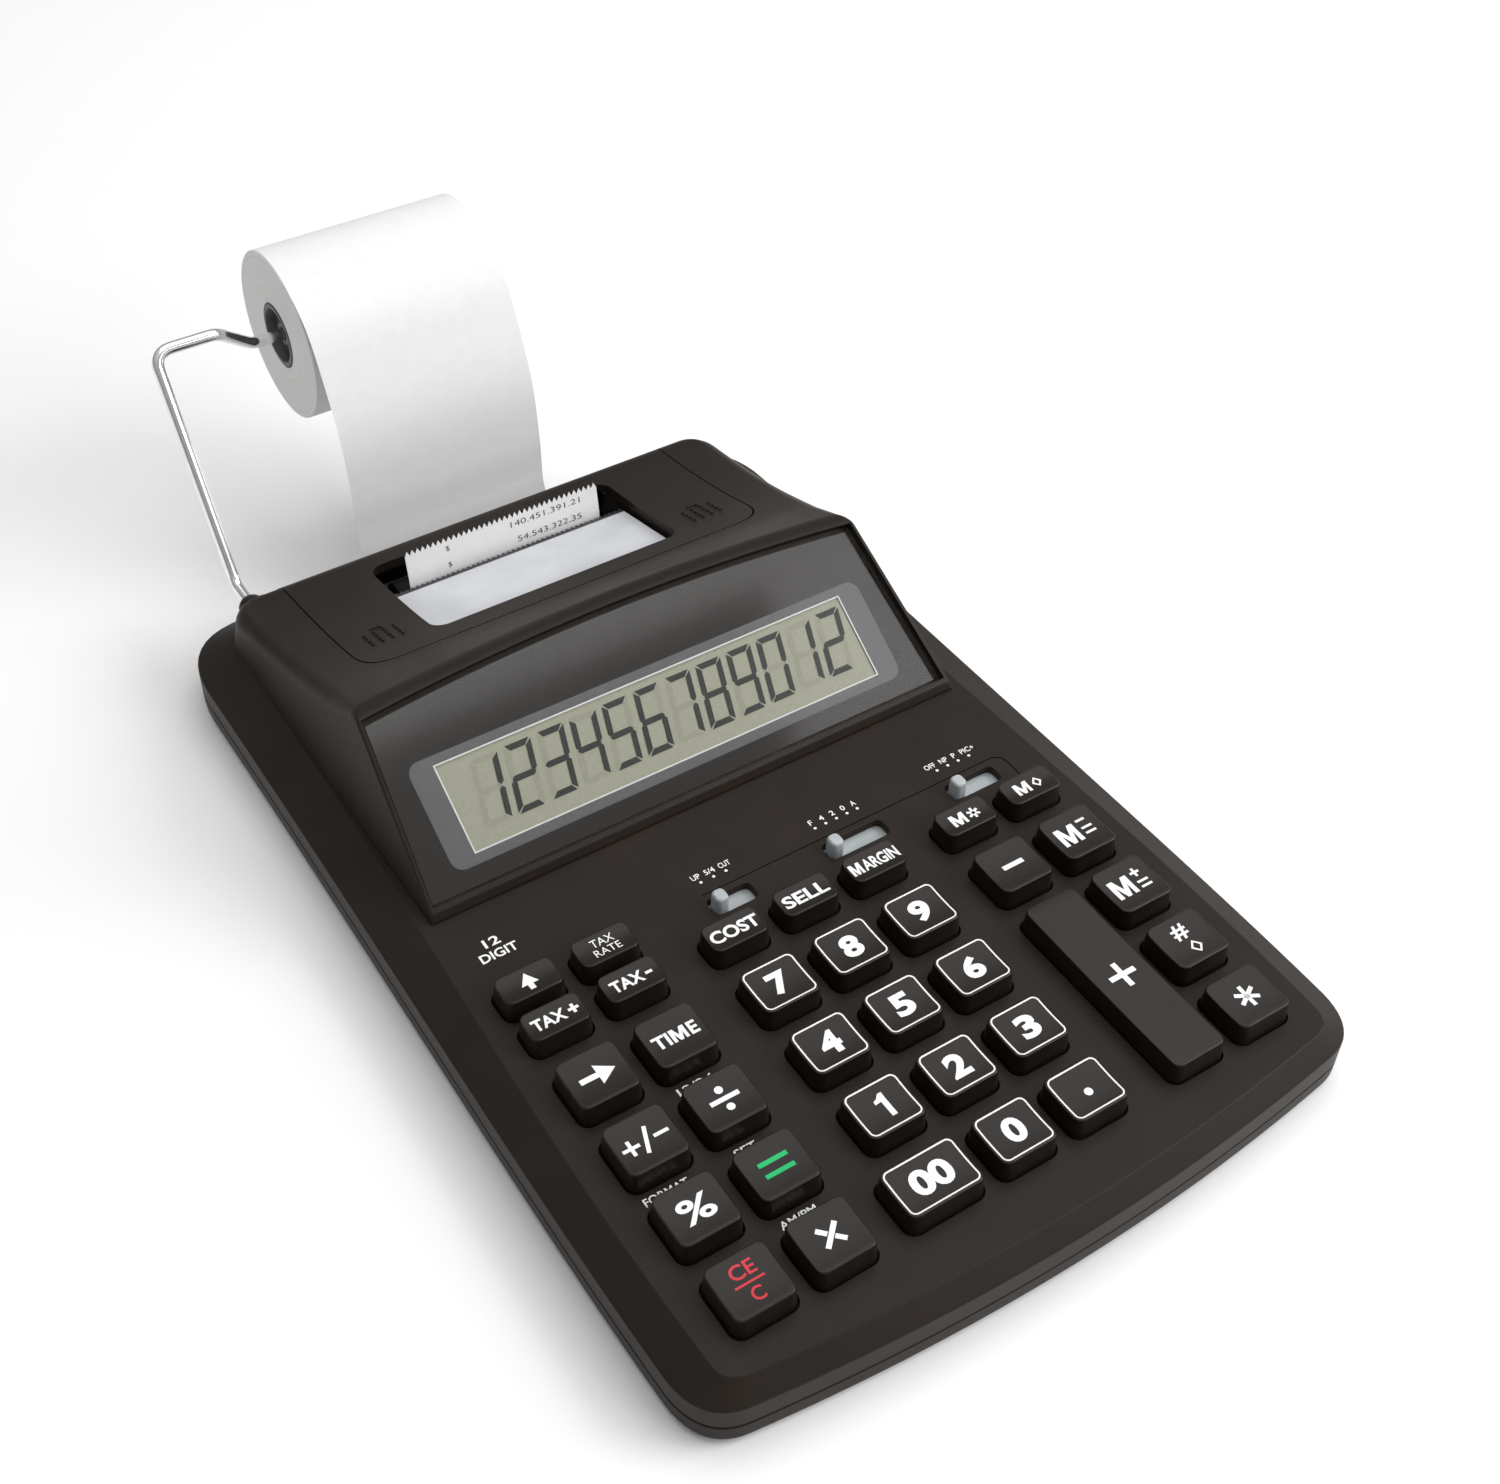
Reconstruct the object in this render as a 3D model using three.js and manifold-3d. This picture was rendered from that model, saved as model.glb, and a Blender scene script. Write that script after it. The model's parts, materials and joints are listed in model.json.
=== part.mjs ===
// Desk-top printing calculator: two-shell case, sloping display hood, 35 keys, three slide
// switches, a small printer under a lift-off cover and a paper roll on a bent-wire arm.
// Units are millimetres. +X is the user's right, +Y the back, +Z up. Inside the model y = 0 is
// the row of the 7, 8 and 9 keys; the last lines shift it so that the origin is below the middle.
import * as THREE from 'three';
import { mergeVertices } from 'three/addons/utils/BufferGeometryUtils.js';
import Module from 'manifold-3d';

const wasm = await Module();
wasm.setup();

// ---- driving dimensions -------------------------------------------------------------------
const GAP = 0.3; // clearance between touching pieces
const WALL = 2.2; // shell thickness
const FOOT_HEIGHT = 1.0; // the bottom case stands this high
const FLOOR_Z = 3; // inside face of the bottom case
const ROOT = 0.2; // how far a post or saddle is sunk into the wall that carries it
const PARTING_Z = 6.4; // seam between the two shells
const EDGE_Z = 12.7; // outer edge of the bevel round the key panel
const DECK_Z = 16.75; // key panel
const PANEL_THICKNESS = 2.0;

const KEY_PITCH = 19.25;
const KEY_TOP_Z = 22.3;
const KEY_WIDTH = 14.2; // at the top; the base is wider by KEY_FLARE on each side
const NUMBER_DEPTH = 12.6;
const OPERATOR_DEPTH = 13.5;
const SHORT_DEPTH = 8.2;
const KEY_FLARE = 0.5;
const KEY_FLANGE = 0.75; // lip that stops the key under the panel
const KEY_CORNER = 1.9;
const KEY_BOTTOM_Z = 12.6;
const SHORT_ROW_Y = 17.9;
const TOP_ROW_Y = 29.5;
const OUTER_X = 65.2; // outermost columns, left and right
const INNER_X = 46; // the columns next to them

const SLOT_DEPTH = 5.2;
const SLOT_MARGIN = 0.8; // a slot is this much longer than its knob needs
const KNOB_WIDTH = 3.9;
const PLATE_DEPTH = 6.6;
const PLATE_THICKNESS = 1;
const HOLE_BELOW = 6; // holes through the panel are cut from this far below it
const HOLE_ABOVE = 2; // to this far above it
const KNOB_TOP_Z = 20.6;

const FACE_ANGLE = THREE.MathUtils.degToRad(33.5); // slope of the display
const FACE_Y = 61.5; // lower edge of the display lens
const FACE_Z = 19.3;
const LENS_LENGTH = 45;
const LENS_HALF_BOTTOM = 72.2;
const LENS_HALF_TOP = 68.5;
const LENS_THICKNESS = 1.6;
const RIM_HEIGHT = 0.9; // the hood's rim stands this far proud of the lens

const BROW_ARCH = 3.7; // the lens's top edge and the crest arch back along the slope by this
const ARCH_STEPS = 20;
const ARCH_START = 28; // the crest's arch fades in from this distance along the slope
const CREST_Y = 101;
const HOOD_REAR_Y = 176.3;
const HOOD_CORNER = 9; // plan radius of the hood's rear corners
const BOSS_RADIUS = 3.6; // boss that holds the paper arm
const BOSS_REAR_Y = 178.6;
const NOTCH_RADIUS = 2.2; // dip in the rear edge between the cover and the boss
const NOTCH_Z = 25.9;
const HOOD_HALF_DECK = 74.2; // half width of the hood where it meets the panel
const HOOD_DRAFT = 0.15; // its sides lean in by this much per millimetre of height
const COVER_HALF = 57;
const COVER_FRONT_Y = 121;
const COVER_BOTTOM_Z = 21;
const SKIRT_WALL = 1.2; // walls that hang from the cover beside and behind its window
const SKIRT_BOTTOM_Z = 24;
const WINDOW_HALF = 35.6;
const WINDOW_FRONT_Y = 128;
const WINDOW_REAR_Y = 168;

const PAPER_WIDTH = 57;
const ROLL_RADIUS = 23;
const CORE_RADIUS = 8.7;
const ROLL_Y = 228.3;
const ROLL_Z = 62.2;
const WIRE_RADIUS = 1.6;
const ARM_X = -65.5;
const ARM_Z = 22.8;

const PLATEN_Y = 164.5;
const PLATEN_Z = 15.6;
const PLATEN_RADIUS = 5.4;
const MOTOR_Y = 154;
const MOTOR_Z = 13.5;
const MOTOR_RADIUS = 8;
const MOTOR_X = [46.6, 65];
const FRAME_HALF = 38;
const BOARD_Z = 6.4; // underside of the circuit board
const SLIT_HALF = 30; // paper inlet at the back
const SLIT_Z = [7.7, 11];
const JACK_X = [45, 54];
const JACK_Y = [171, 183.2];
const JACK_Z = [4.5, 12];
const JACK_BORE_RADIUS = 2.9;
const JACK_BORE_Z = 8.3;

// ---- materials ----------------------------------------------------------------------------
const material = (color, roughness, metalness = 0) =>
  new THREE.MeshStandardMaterial({ color, roughness, metalness });
const casePlastic = material(0x2b2724, 0.55);
const keyPlastic = material(0x26221f, 0.4);
const switchPlastic = material(0xb5bcbe, 0.45);
const smokeLens = material(0x35322f, 0.12);
const displayGlass = material(0xa9ab97, 0.35);
const chrome = material(0xd8dadb, 0.15, 1);
const whitePaper = material(0xf4f4f2, 0.85);
const hubPlastic = material(0x4a4a4b, 0.5);
const silverPlate = material(0xe4e6e8, 0.35);
const board = material(0x2f6b3c, 0.6);
const silicone = material(0xc9c6bd, 0.8);
const steel = material(0xa3a6a8, 0.35, 1);
const rubber = material(0x1b1a19, 0.9);
const inkFelt = material(0x2a1f4a, 0.9);
const blackPlastic = material(0x161514, 0.5);

// ---- helpers: solids ----------------------------------------------------------------------
function toSolid(geometry) {
  const plain = geometry.clone();
  plain.deleteAttribute('normal');
  plain.deleteAttribute('uv');
  const merged = mergeVertices(plain, 1e-4);
  return new wasm.Manifold(new wasm.Mesh({
    numProp: 3,
    vertProperties: new Float32Array(merged.attributes.position.array),
    triVerts: new Uint32Array(merged.index.array),
  }));
}

function toGeometry(solid) {
  const mesh = solid.getMesh();
  const geometry = new THREE.BufferGeometry();
  geometry.setAttribute('position', new THREE.BufferAttribute(mesh.vertProperties, 3));
  geometry.setIndex(new THREE.BufferAttribute(mesh.triVerts, 1));
  geometry.computeVertexNormals();
  return geometry;
}

function cut(base, ...tools) {
  return tools.reduce((solid, tool) => solid.subtract(toSolid(tool)), base);
}

function join(base, ...pieces) {
  return pieces.reduce((solid, piece) => solid.add(toSolid(piece)), base);
}

const root = new THREE.Group();

function addPiece(name, geometry, surface, parent = root) {
  const mesh = new THREE.Mesh(geometry, surface);
  mesh.name = name;
  parent.add(mesh);
  return mesh;
}

// ---- helpers: shapes ----------------------------------------------------------------------
function box(x0, x1, y0, y1, z0, z1) {
  const geometry = new THREE.BoxGeometry(x1 - x0, y1 - y0, z1 - z0);
  return geometry.translate((x0 + x1) / 2, (y0 + y1) / 2, (z0 + z1) / 2);
}

function rodX(radius, x0, x1, y, z, sides = 20) {
  const geometry = new THREE.CylinderGeometry(radius, radius, x1 - x0, sides);
  return geometry.rotateZ(Math.PI / 2).translate((x0 + x1) / 2, y, z);
}

function rodY(radius, y0, y1, x, z, sides = 20) {
  return new THREE.CylinderGeometry(radius, radius, y1 - y0, sides).translate(x, (y0 + y1) / 2, z);
}

// A counter-clockwise outline whose corners are arcs of a few steps each.
function roundedRectangle(width, depth, radius, cornerSteps = 3) {
  const corners = [[1, 1], [-1, 1], [-1, -1], [1, -1]];
  return corners.flatMap(([sideX, sideY], corner) => (
    Array.from({ length: cornerSteps + 1 }, (_, i) => {
      const angle = ((corner + i / cornerSteps) * Math.PI) / 2;
      return new THREE.Vector2(
        sideX * (width / 2 - radius) + radius * Math.cos(angle),
        sideY * (depth / 2 - radius) + radius * Math.sin(angle),
      );
    })
  ));
}

function uniquePoints(points) {
  return points.filter((p, i) => p.distanceTo(points[(i + 1) % points.length]) > 1e-3);
}

// A closed solid through outlines of equal point count, listed from the bottom up.
function loft(levels) {
  const count = levels[0].points.length;
  const positions = levels.flatMap(({ z, points }) => points.flatMap((p) => [p.x, p.y, z]));
  const index = [];
  for (let level = 0; level + 1 < levels.length; level += 1) {
    for (let i = 0; i < count; i += 1) {
      const a = level * count + i;
      const b = level * count + ((i + 1) % count);
      index.push(a, b, b + count, a, b + count, a + count);
    }
  }
  const capFaces = (points) => THREE.ShapeUtils.triangulateShape(points, []);
  const last = (levels.length - 1) * count;
  capFaces(levels[0].points).forEach(([a, b, c]) => index.push(c, b, a));
  capFaces(levels.at(-1).points).forEach(([a, b, c]) => index.push(last + a, last + b, last + c));
  const geometry = new THREE.BufferGeometry();
  geometry.setAttribute('position', new THREE.Float32BufferAttribute(positions, 3));
  geometry.setIndex(index);
  return geometry;
}

// Moves every edge of a counter-clockwise outline inwards by a distance.
function inset(points, distance) {
  return points.map((point, i) => {
    const before = points[(i + points.length - 1) % points.length];
    const after = points[(i + 1) % points.length];
    const inA = point.clone().sub(before).normalize().rotateAround(new THREE.Vector2(), Math.PI / 2);
    const inB = after.clone().sub(point).normalize().rotateAround(new THREE.Vector2(), Math.PI / 2);
    const mid = inA.clone().add(inB).normalize();
    return point.clone().addScaledVector(mid, distance / Math.max(mid.dot(inA), 0.3));
  });
}

// Extrudes an outline drawn in (y, z) along X, from x0 to x1.
const sideViewAxes = new THREE.Matrix4().makeBasis(
  new THREE.Vector3(0, 1, 0), new THREE.Vector3(0, 0, 1), new THREE.Vector3(1, 0, 0),
);

function extrudeAlongX(outline, x0, x1) {
  const geometry = new THREE.ExtrudeGeometry(new THREE.Shape(outline), {
    depth: x1 - x0,
    bevelEnabled: false,
  });
  return geometry.applyMatrix4(sideViewAxes).translate(x0, 0, 0);
}

// A solid along X through a side view that may change from place to place.
function loftAlongX(places, outlineAt) {
  return loft(places.map((x) => ({ z: x, points: outlineAt(x) }))).applyMatrix4(sideViewAxes);
}

const vectors = (pairs) => pairs.map(([a, b]) => new THREE.Vector2(a, b));

// ---- case outlines ------------------------------------------------------------------------
// The plan outline: a bowed front, round corners, sides that draw in slightly to the back.
function planOutline({ front, bow, frontHalf, corner, cornerEnd, side, rearStart, rearCorner, rear }) {
  const shape = new THREE.Shape();
  shape.moveTo(0, front);
  shape.quadraticCurveTo(frontHalf / 2, front, frontHalf, front + bow);
  shape.quadraticCurveTo(...corner, ...cornerEnd);
  shape.bezierCurveTo(...side, ...rearStart);
  shape.quadraticCurveTo(...rearCorner, ...rear);
  const half = uniquePoints(shape.getPoints(6)).filter((p) => p.x > 0.01);
  const other = half.map((p) => new THREE.Vector2(-p.x, p.y)).reverse();
  return [new THREE.Vector2(0, front), ...half, ...other];
}

const caseOutline = planOutline({
  front: -81, bow: 5.3, frontHalf: 76,
  corner: [86.4, -74.3], cornerEnd: [87.2, -62],
  side: [88.6, -10, 85.3, 60], rearStart: [85, 162],
  rearCorner: [84.6, 183.5], rear: [66, 183.5],
});
const panelOutline = planOutline({
  front: -76.8, bow: 5.2, frontHalf: 74,
  corner: [79, -70.9], cornerEnd: [79.3, -66],
  side: [82, 10, 74.5, 50], rearStart: [74, 160],
  rearCorner: [73.8, 176], rear: [62, 176],
});

// ---- display hood -------------------------------------------------------------------------
const slope = new THREE.Vector2(Math.cos(FACE_ANGLE), Math.sin(FACE_ANGLE));
const normal = new THREE.Vector2(-slope.y, slope.x);

// A point of the side view, given along the display's slope and above its surface.
function onFace(along, above) {
  return new THREE.Vector2(FACE_Y, FACE_Z).addScaledVector(slope, along).addScaledVector(normal, above);
}

const placeOnFace = new THREE.Matrix4()
  .makeTranslation(0, FACE_Y, FACE_Z)
  .multiply(new THREE.Matrix4().makeRotationX(FACE_ANGLE));

const hoodOutside = [
  ...vectors([[58.8, 14], [58.8, DECK_Z]]),
  onFace(-1.5, RIM_HEIGHT),
  onFace(LENS_LENGTH + 1.2, RIM_HEIGHT),
  ...vectors([
    [101.6, 46], [103.8, 45.2], [120.9, 38.9], [135.1, 34], [152, 29.8], [168.1, 26.9],
    [173.4, 26.2], [175.5, 25], [HOOD_REAR_Y, 22.5], [HOOD_REAR_Y, 14],
  ]),
].reverse();
const hoodInside = [
  ...vectors([[63, 12], [63, DECK_Z - 0.6]]),
  onFace(2, -3.4),
  onFace(LENS_LENGTH - 2, -3.4),
  ...vectors([
    [102.5, 43.2], [120.3, 36.6], [134.6, 31.8], [151.6, 27.5], [167.7, 24.7], [173, 24],
    [174.1, 22.5], [174.1, 12],
  ]),
].reverse();

// The hood's side view at x, its crest moved back along the slope.
function archedSideView(x) {
  const arch = BROW_ARCH * Math.max(1 - (x / LENS_HALF_TOP) ** 2, 0);
  return hoodOutside.map((point) => {
    const along = point.clone().sub(new THREE.Vector2(FACE_Y, FACE_Z)).dot(slope);
    const fadeIn = THREE.MathUtils.smoothstep(along, ARCH_START, LENS_LENGTH);
    const fadeOut = 1 - THREE.MathUtils.smoothstep(point.x, CREST_Y, COVER_FRONT_Y);
    return point.clone().addScaledVector(slope, arch * fadeIn * fadeOut);
  });
}

// Gives a solid along X the hood's drafted sides and round rear corners.
function draftedHood(sideSolid, halfAtDeck, rearY, corner) {
  const bottom = 10;
  const top = 50;
  const depth = 140;
  const halfAt = (z) => halfAtDeck - HOOD_DRAFT * (z - DECK_Z);
  const sides = [bottom, top].map((z) => ({
    z,
    points: roundedRectangle(2 * halfAt(z), depth, corner, 6),
  }));
  return toSolid(sideSolid).intersect(toSolid(loft(sides).translate(0, rearY - depth / 2, 0)));
}

const archPlaces = Array.from(
  { length: ARCH_STEPS + 1 },
  (_, i) => LENS_HALF_TOP * ((2 * i) / ARCH_STEPS - 1),
);
const hood = draftedHood(
  loftAlongX([-80, ...archPlaces, 80], archedSideView), HOOD_HALF_DECK, HOOD_REAR_Y, HOOD_CORNER,
);
const hoodCavity = draftedHood(
  extrudeAlongX(hoodInside, -80, 80),
  HOOD_HALF_DECK - WALL,
  HOOD_REAR_Y - WALL,
  HOOD_CORNER - WALL,
);

// A plate on the display's slope, wider at the bottom; its top edge may be arched.
function facePlate(halfBottom, halfTop, from, to, below, above, arch = 0) {
  const steps = arch > 0 ? ARCH_STEPS : 1;
  const topEdge = Array.from({ length: steps + 1 }, (_, i) => {
    const share = 1 - (2 * i) / steps;
    return [halfTop * share, to + arch * (1 - share ** 2)];
  });
  const outline = new THREE.Shape(vectors([[-halfBottom, from], [halfBottom, from], ...topEdge]));
  const plate = new THREE.ExtrudeGeometry(outline, { depth: above - below, bevelEnabled: false });
  return plate.translate(0, 0, below);
}

// ---- keys ---------------------------------------------------------------------------------
const row = (number) => -number * KEY_PITCH;
const keys = [
  ['key_shift', -OUTER_X, TOP_ROW_Y, KEY_WIDTH, SHORT_DEPTH],
  ['key_tax_rate', -INNER_X, TOP_ROW_Y, KEY_WIDTH, SHORT_DEPTH],
  ['key_tax_plus', -OUTER_X, SHORT_ROW_Y, KEY_WIDTH, SHORT_DEPTH],
  ['key_tax_minus', -INNER_X, SHORT_ROW_Y, KEY_WIDTH, SHORT_DEPTH],
  ['key_cost', -KEY_PITCH, SHORT_ROW_Y, KEY_WIDTH, SHORT_DEPTH],
  ['key_sell', 0, SHORT_ROW_Y, KEY_WIDTH, SHORT_DEPTH],
  ['key_margin', KEY_PITCH, SHORT_ROW_Y, KEY_WIDTH, SHORT_DEPTH],
  ['key_memory_total', INNER_X, SHORT_ROW_Y, KEY_WIDTH, SHORT_DEPTH],
  ['key_memory_subtotal', OUTER_X, SHORT_ROW_Y, KEY_WIDTH, SHORT_DEPTH],
  ['key_backspace', -OUTER_X, row(0), KEY_WIDTH, OPERATOR_DEPTH],
  ['key_time', -INNER_X, row(0), KEY_WIDTH, OPERATOR_DEPTH],
  ['key_sign', -OUTER_X, row(1), KEY_WIDTH, OPERATOR_DEPTH],
  ['key_divide', -INNER_X, row(1), KEY_WIDTH, OPERATOR_DEPTH],
  ['key_percent', -OUTER_X, row(2), KEY_WIDTH, OPERATOR_DEPTH],
  ['key_equals', -INNER_X, row(2), KEY_WIDTH, OPERATOR_DEPTH],
  ['key_clear', -OUTER_X, row(3), KEY_WIDTH, OPERATOR_DEPTH],
  ['key_multiply', -INNER_X, row(3), KEY_WIDTH, OPERATOR_DEPTH],
  ['key_7', -KEY_PITCH, row(0), KEY_WIDTH, NUMBER_DEPTH],
  ['key_8', 0, row(0), KEY_WIDTH, NUMBER_DEPTH],
  ['key_9', KEY_PITCH, row(0), KEY_WIDTH, NUMBER_DEPTH],
  ['key_4', -KEY_PITCH, row(1), KEY_WIDTH, NUMBER_DEPTH],
  ['key_5', 0, row(1), KEY_WIDTH, NUMBER_DEPTH],
  ['key_6', KEY_PITCH, row(1), KEY_WIDTH, NUMBER_DEPTH],
  ['key_1', -KEY_PITCH, row(2), KEY_WIDTH, NUMBER_DEPTH],
  ['key_2', 0, row(2), KEY_WIDTH, NUMBER_DEPTH],
  ['key_3', KEY_PITCH, row(2), KEY_WIDTH, NUMBER_DEPTH],
  ['key_00', -KEY_PITCH - 2, row(3), KEY_WIDTH + 4.4, NUMBER_DEPTH],
  ['key_0', 0, row(3), KEY_WIDTH, NUMBER_DEPTH],
  ['key_point', KEY_PITCH, row(3), KEY_WIDTH, NUMBER_DEPTH],
  ['key_minus', INNER_X, row(0), KEY_WIDTH, OPERATOR_DEPTH],
  ['key_memory_minus', OUTER_X, row(0), KEY_WIDTH, OPERATOR_DEPTH],
  ['key_plus', INNER_X, row(2), KEY_WIDTH, OPERATOR_DEPTH + 2 * KEY_PITCH],
  ['key_memory_plus', OUTER_X, row(1), KEY_WIDTH, OPERATOR_DEPTH],
  ['key_subtotal', OUTER_X, row(2), KEY_WIDTH, OPERATOR_DEPTH],
  ['key_total', OUTER_X, row(3), KEY_WIDTH, OPERATOR_DEPTH],
].map(([name, x, y, width, depth]) => ({ name, x, y, width, depth }));

function keyOutline({ width, depth }, grow) {
  return roundedRectangle(width + 2 * grow, depth + 2 * grow, KEY_CORNER + grow);
}

function keyGeometry(key) {
  const flangeTop = DECK_Z - PANEL_THICKNESS - GAP;
  return loft([
    { z: KEY_BOTTOM_Z, points: keyOutline(key, KEY_FLARE + KEY_FLANGE) },
    { z: flangeTop, points: keyOutline(key, KEY_FLARE + KEY_FLANGE) },
    { z: flangeTop, points: keyOutline(key, KEY_FLARE) },
    { z: DECK_Z, points: keyOutline(key, KEY_FLARE) },
    { z: KEY_TOP_Z - 0.4, points: keyOutline(key, 0) },
    { z: KEY_TOP_Z, points: keyOutline(key, -0.4) },
  ]);
}

function keyHole(key) {
  const points = keyOutline(key, KEY_FLARE + GAP);
  return loft([{ z: DECK_Z - HOLE_BELOW, points }, { z: DECK_Z + HOLE_ABOVE, points }])
    .translate(key.x, key.y, 0);
}

for (const key of keys) {
  addPiece(key.name, keyGeometry(key), keyPlastic).position.set(key.x, key.y, 0);
}

// ---- slide switches -----------------------------------------------------------------------
// x is the knob's first position and travel the way to its last one. The light plate that closes
// the slot reaches from -plateLeft to plateRight beside the knob; the print switch's is shorter on
// the left, so that it stays clear of the decimal switch's plate.
const switches = [
  { name: 'rounding_switch', x: -15.6, travel: 7, plateLeft: 9.4, plateRight: 9.4 },
  { name: 'decimal_switch', x: 16.6, travel: 12.4, plateLeft: 14.9, plateRight: 14.9 },
  { name: 'print_switch', x: 53, travel: 9.8, plateLeft: 8.4, plateRight: 12.4 },
];

function switchSlot({ x, travel }) {
  const length = travel + KNOB_WIDTH + SLOT_MARGIN;
  const points = roundedRectangle(length, SLOT_DEPTH, 1.4);
  return loft([{ z: DECK_Z - HOLE_BELOW, points }, { z: DECK_Z + HOLE_ABOVE, points }])
    .translate(x + travel / 2, TOP_ROW_Y, 0);
}

for (const { name, x, plateLeft, plateRight } of switches) {
  const plateTop = DECK_Z - PANEL_THICKNESS - GAP;
  const knob = loft([
    { z: plateTop - PLATE_THICKNESS / 2, points: roundedRectangle(KNOB_WIDTH, SLOT_DEPTH - 1, 1.2) },
    { z: DECK_Z, points: roundedRectangle(KNOB_WIDTH, SLOT_DEPTH - 1, 1.2) },
    { z: KNOB_TOP_Z, points: roundedRectangle(KNOB_WIDTH - 0.7, SLOT_DEPTH - 1.7, 1) },
  ]);
  const plate = box(
    -plateLeft, plateRight, -PLATE_DEPTH / 2, PLATE_DEPTH / 2, plateTop - PLATE_THICKNESS, plateTop,
  );
  addPiece(name, toGeometry(join(toSolid(plate), knob)), switchPlastic).position.set(x, TOP_ROW_Y, 0);
}

// ---- top case and printer cover -----------------------------------------------------------
const slab = loft([
  { z: PARTING_Z + 0.2, points: caseOutline },
  { z: EDGE_Z, points: caseOutline },
  { z: DECK_Z, points: panelOutline },
]);
const slabCavity = loft([
  { z: PARTING_Z - 2, points: inset(caseOutline, WALL) },
  { z: EDGE_Z - 1.6, points: inset(caseOutline, WALL) },
  { z: DECK_Z - PANEL_THICKNESS, points: inset(panelOutline, WALL) },
]);
const armBoss = rodY(BOSS_RADIUS, 166, BOSS_REAR_Y, ARM_X, ARM_Z);
const rearNotch = rodY(
  NOTCH_RADIUS, HOOD_REAR_Y - WALL, BOSS_REAR_Y, (ARM_X - COVER_HALF + NOTCH_RADIUS) / 2, NOTCH_Z,
);
const lensPocket = facePlate(
  LENS_HALF_BOTTOM + GAP, LENS_HALF_TOP + GAP, -GAP, LENS_LENGTH + GAP, -LENS_THICKNESS - GAP, 3,
  BROW_ARCH,
).applyMatrix4(placeOnFace);
const displayWindow = facePlate(62, 62, 5, 33.4, -9, 3).applyMatrix4(placeOnFace);
const coverRegion = (grow) => box(
  -COVER_HALF - grow, COVER_HALF + grow, COVER_FRONT_Y - grow, 185, COVER_BOTTOM_Z - grow, 60,
);
const paperInlet = box(-SLIT_HALF, SLIT_HALF, 150, 190, ...SLIT_Z);
const jackOpening = box(
  JACK_X[0] - GAP, JACK_X[1] + GAP, JACK_Y[0] - GAP, 190, JACK_Z[0] - GAP, JACK_Z[1] + GAP,
);

const hollowHood = hood.subtract(hoodCavity);
const windowOutline = roundedRectangle(2 * WINDOW_HALF, WINDOW_REAR_Y - WINDOW_FRONT_Y, 4);
const windowCut = loft([{ z: 20, points: windowOutline }, { z: 60, points: windowOutline }])
  .translate(0, (WINDOW_FRONT_Y + WINDOW_REAR_Y) / 2, 0);
const skirtHalf = WINDOW_HALF + SKIRT_WALL;
const skirt = cut(
  toSolid(box(
    -skirtHalf, skirtHalf, WINDOW_FRONT_Y + 1, WINDOW_REAR_Y + SKIRT_WALL, SKIRT_BOTTOM_Z, 40,
  )),
  box(-WINDOW_HALF, WINDOW_HALF, WINDOW_FRONT_Y, WINDOW_REAR_Y, 20, 50),
).intersect(hood);
const printerCover = hollowHood
  .intersect(toSolid(coverRegion(0)))
  .add(skirt)
  .subtract(toSolid(windowCut));
addPiece('printer_cover', toGeometry(printerCover), casePlastic);

const topCase = cut(
  join(cut(hood, rearNotch), armBoss).add(toSolid(slab)).subtract(toSolid(slabCavity)).subtract(hoodCavity),
  ...keys.map(keyHole),
  ...switches.map(switchSlot),
  lensPocket,
  displayWindow,
  coverRegion(GAP),
  paperInlet,
  jackOpening,
  rodY(WIRE_RADIUS + GAP, 160, 190, ARM_X, ARM_Z),
);
addPiece('top_case', toGeometry(topCase), casePlastic);

// ---- display ------------------------------------------------------------------------------
const display = new THREE.Group();
display.position.set(0, FACE_Y, FACE_Z);
display.rotation.x = FACE_ANGLE;
root.add(display);
addPiece(
  'display_lens',
  facePlate(LENS_HALF_BOTTOM, LENS_HALF_TOP, 0, LENS_LENGTH, -LENS_THICKNESS, 0, BROW_ARCH),
  smokeLens,
  display,
);
addPiece('lcd_panel', facePlate(61.4, 61.4, 5.6, 32.8, -4, -LENS_THICKNESS - GAP), displayGlass, display);

// ---- bottom case and feet -----------------------------------------------------------------
const tray = loft([
  { z: FOOT_HEIGHT, points: inset(caseOutline, 0.8) },
  { z: FOOT_HEIGHT + 0.8, points: caseOutline },
  { z: PARTING_Z - 0.2, points: caseOutline },
]);
const trayCavity = loft([
  { z: FLOOR_Z, points: inset(caseOutline, WALL) },
  { z: PARTING_Z + 2, points: inset(caseOutline, WALL) },
]);
const feet = [
  { name: 'front_foot', y: -60, half: 60 },
  { name: 'rear_foot', y: 150, half: 60 },
];
const FOOT_DEPTH = 9;
const FOOT_TOP_Z = 2;
const POST_RADIUS = 3;
const postBottom = FLOOR_Z - ROOT;
const postTop = BOARD_Z - GAP;
const boardPosts = [[-70, -62], [70, -62], [-70, 36], [70, 36]].map(([x, y]) => (
  new THREE.CylinderGeometry(POST_RADIUS, POST_RADIUS, postTop - postBottom, 16)
    .rotateX(Math.PI / 2)
    .translate(x, y, (postTop + postBottom) / 2)
));
const motorSaddle = box(
  48, 64, MOTOR_Y - MOTOR_RADIUS, MOTOR_Y + MOTOR_RADIUS, postBottom, MOTOR_Z - MOTOR_RADIUS - GAP,
);
const jackSaddle = box(JACK_X[0] - 1, JACK_X[1] + 1, 168, 180, postBottom, JACK_Z[0] - GAP);
const bottomCase = cut(
  join(
    cut(toSolid(tray), trayCavity),
    ...boardPosts,
    motorSaddle,
    jackSaddle,
  ),
  ...feet.map(({ y, half }) => box(
    -half - GAP, half + GAP, y - FOOT_DEPTH / 2 - GAP, y + FOOT_DEPTH / 2 + GAP, 0, FOOT_TOP_Z + GAP,
  )),
  jackOpening,
);
addPiece('bottom_case', toGeometry(bottomCase), casePlastic);
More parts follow.
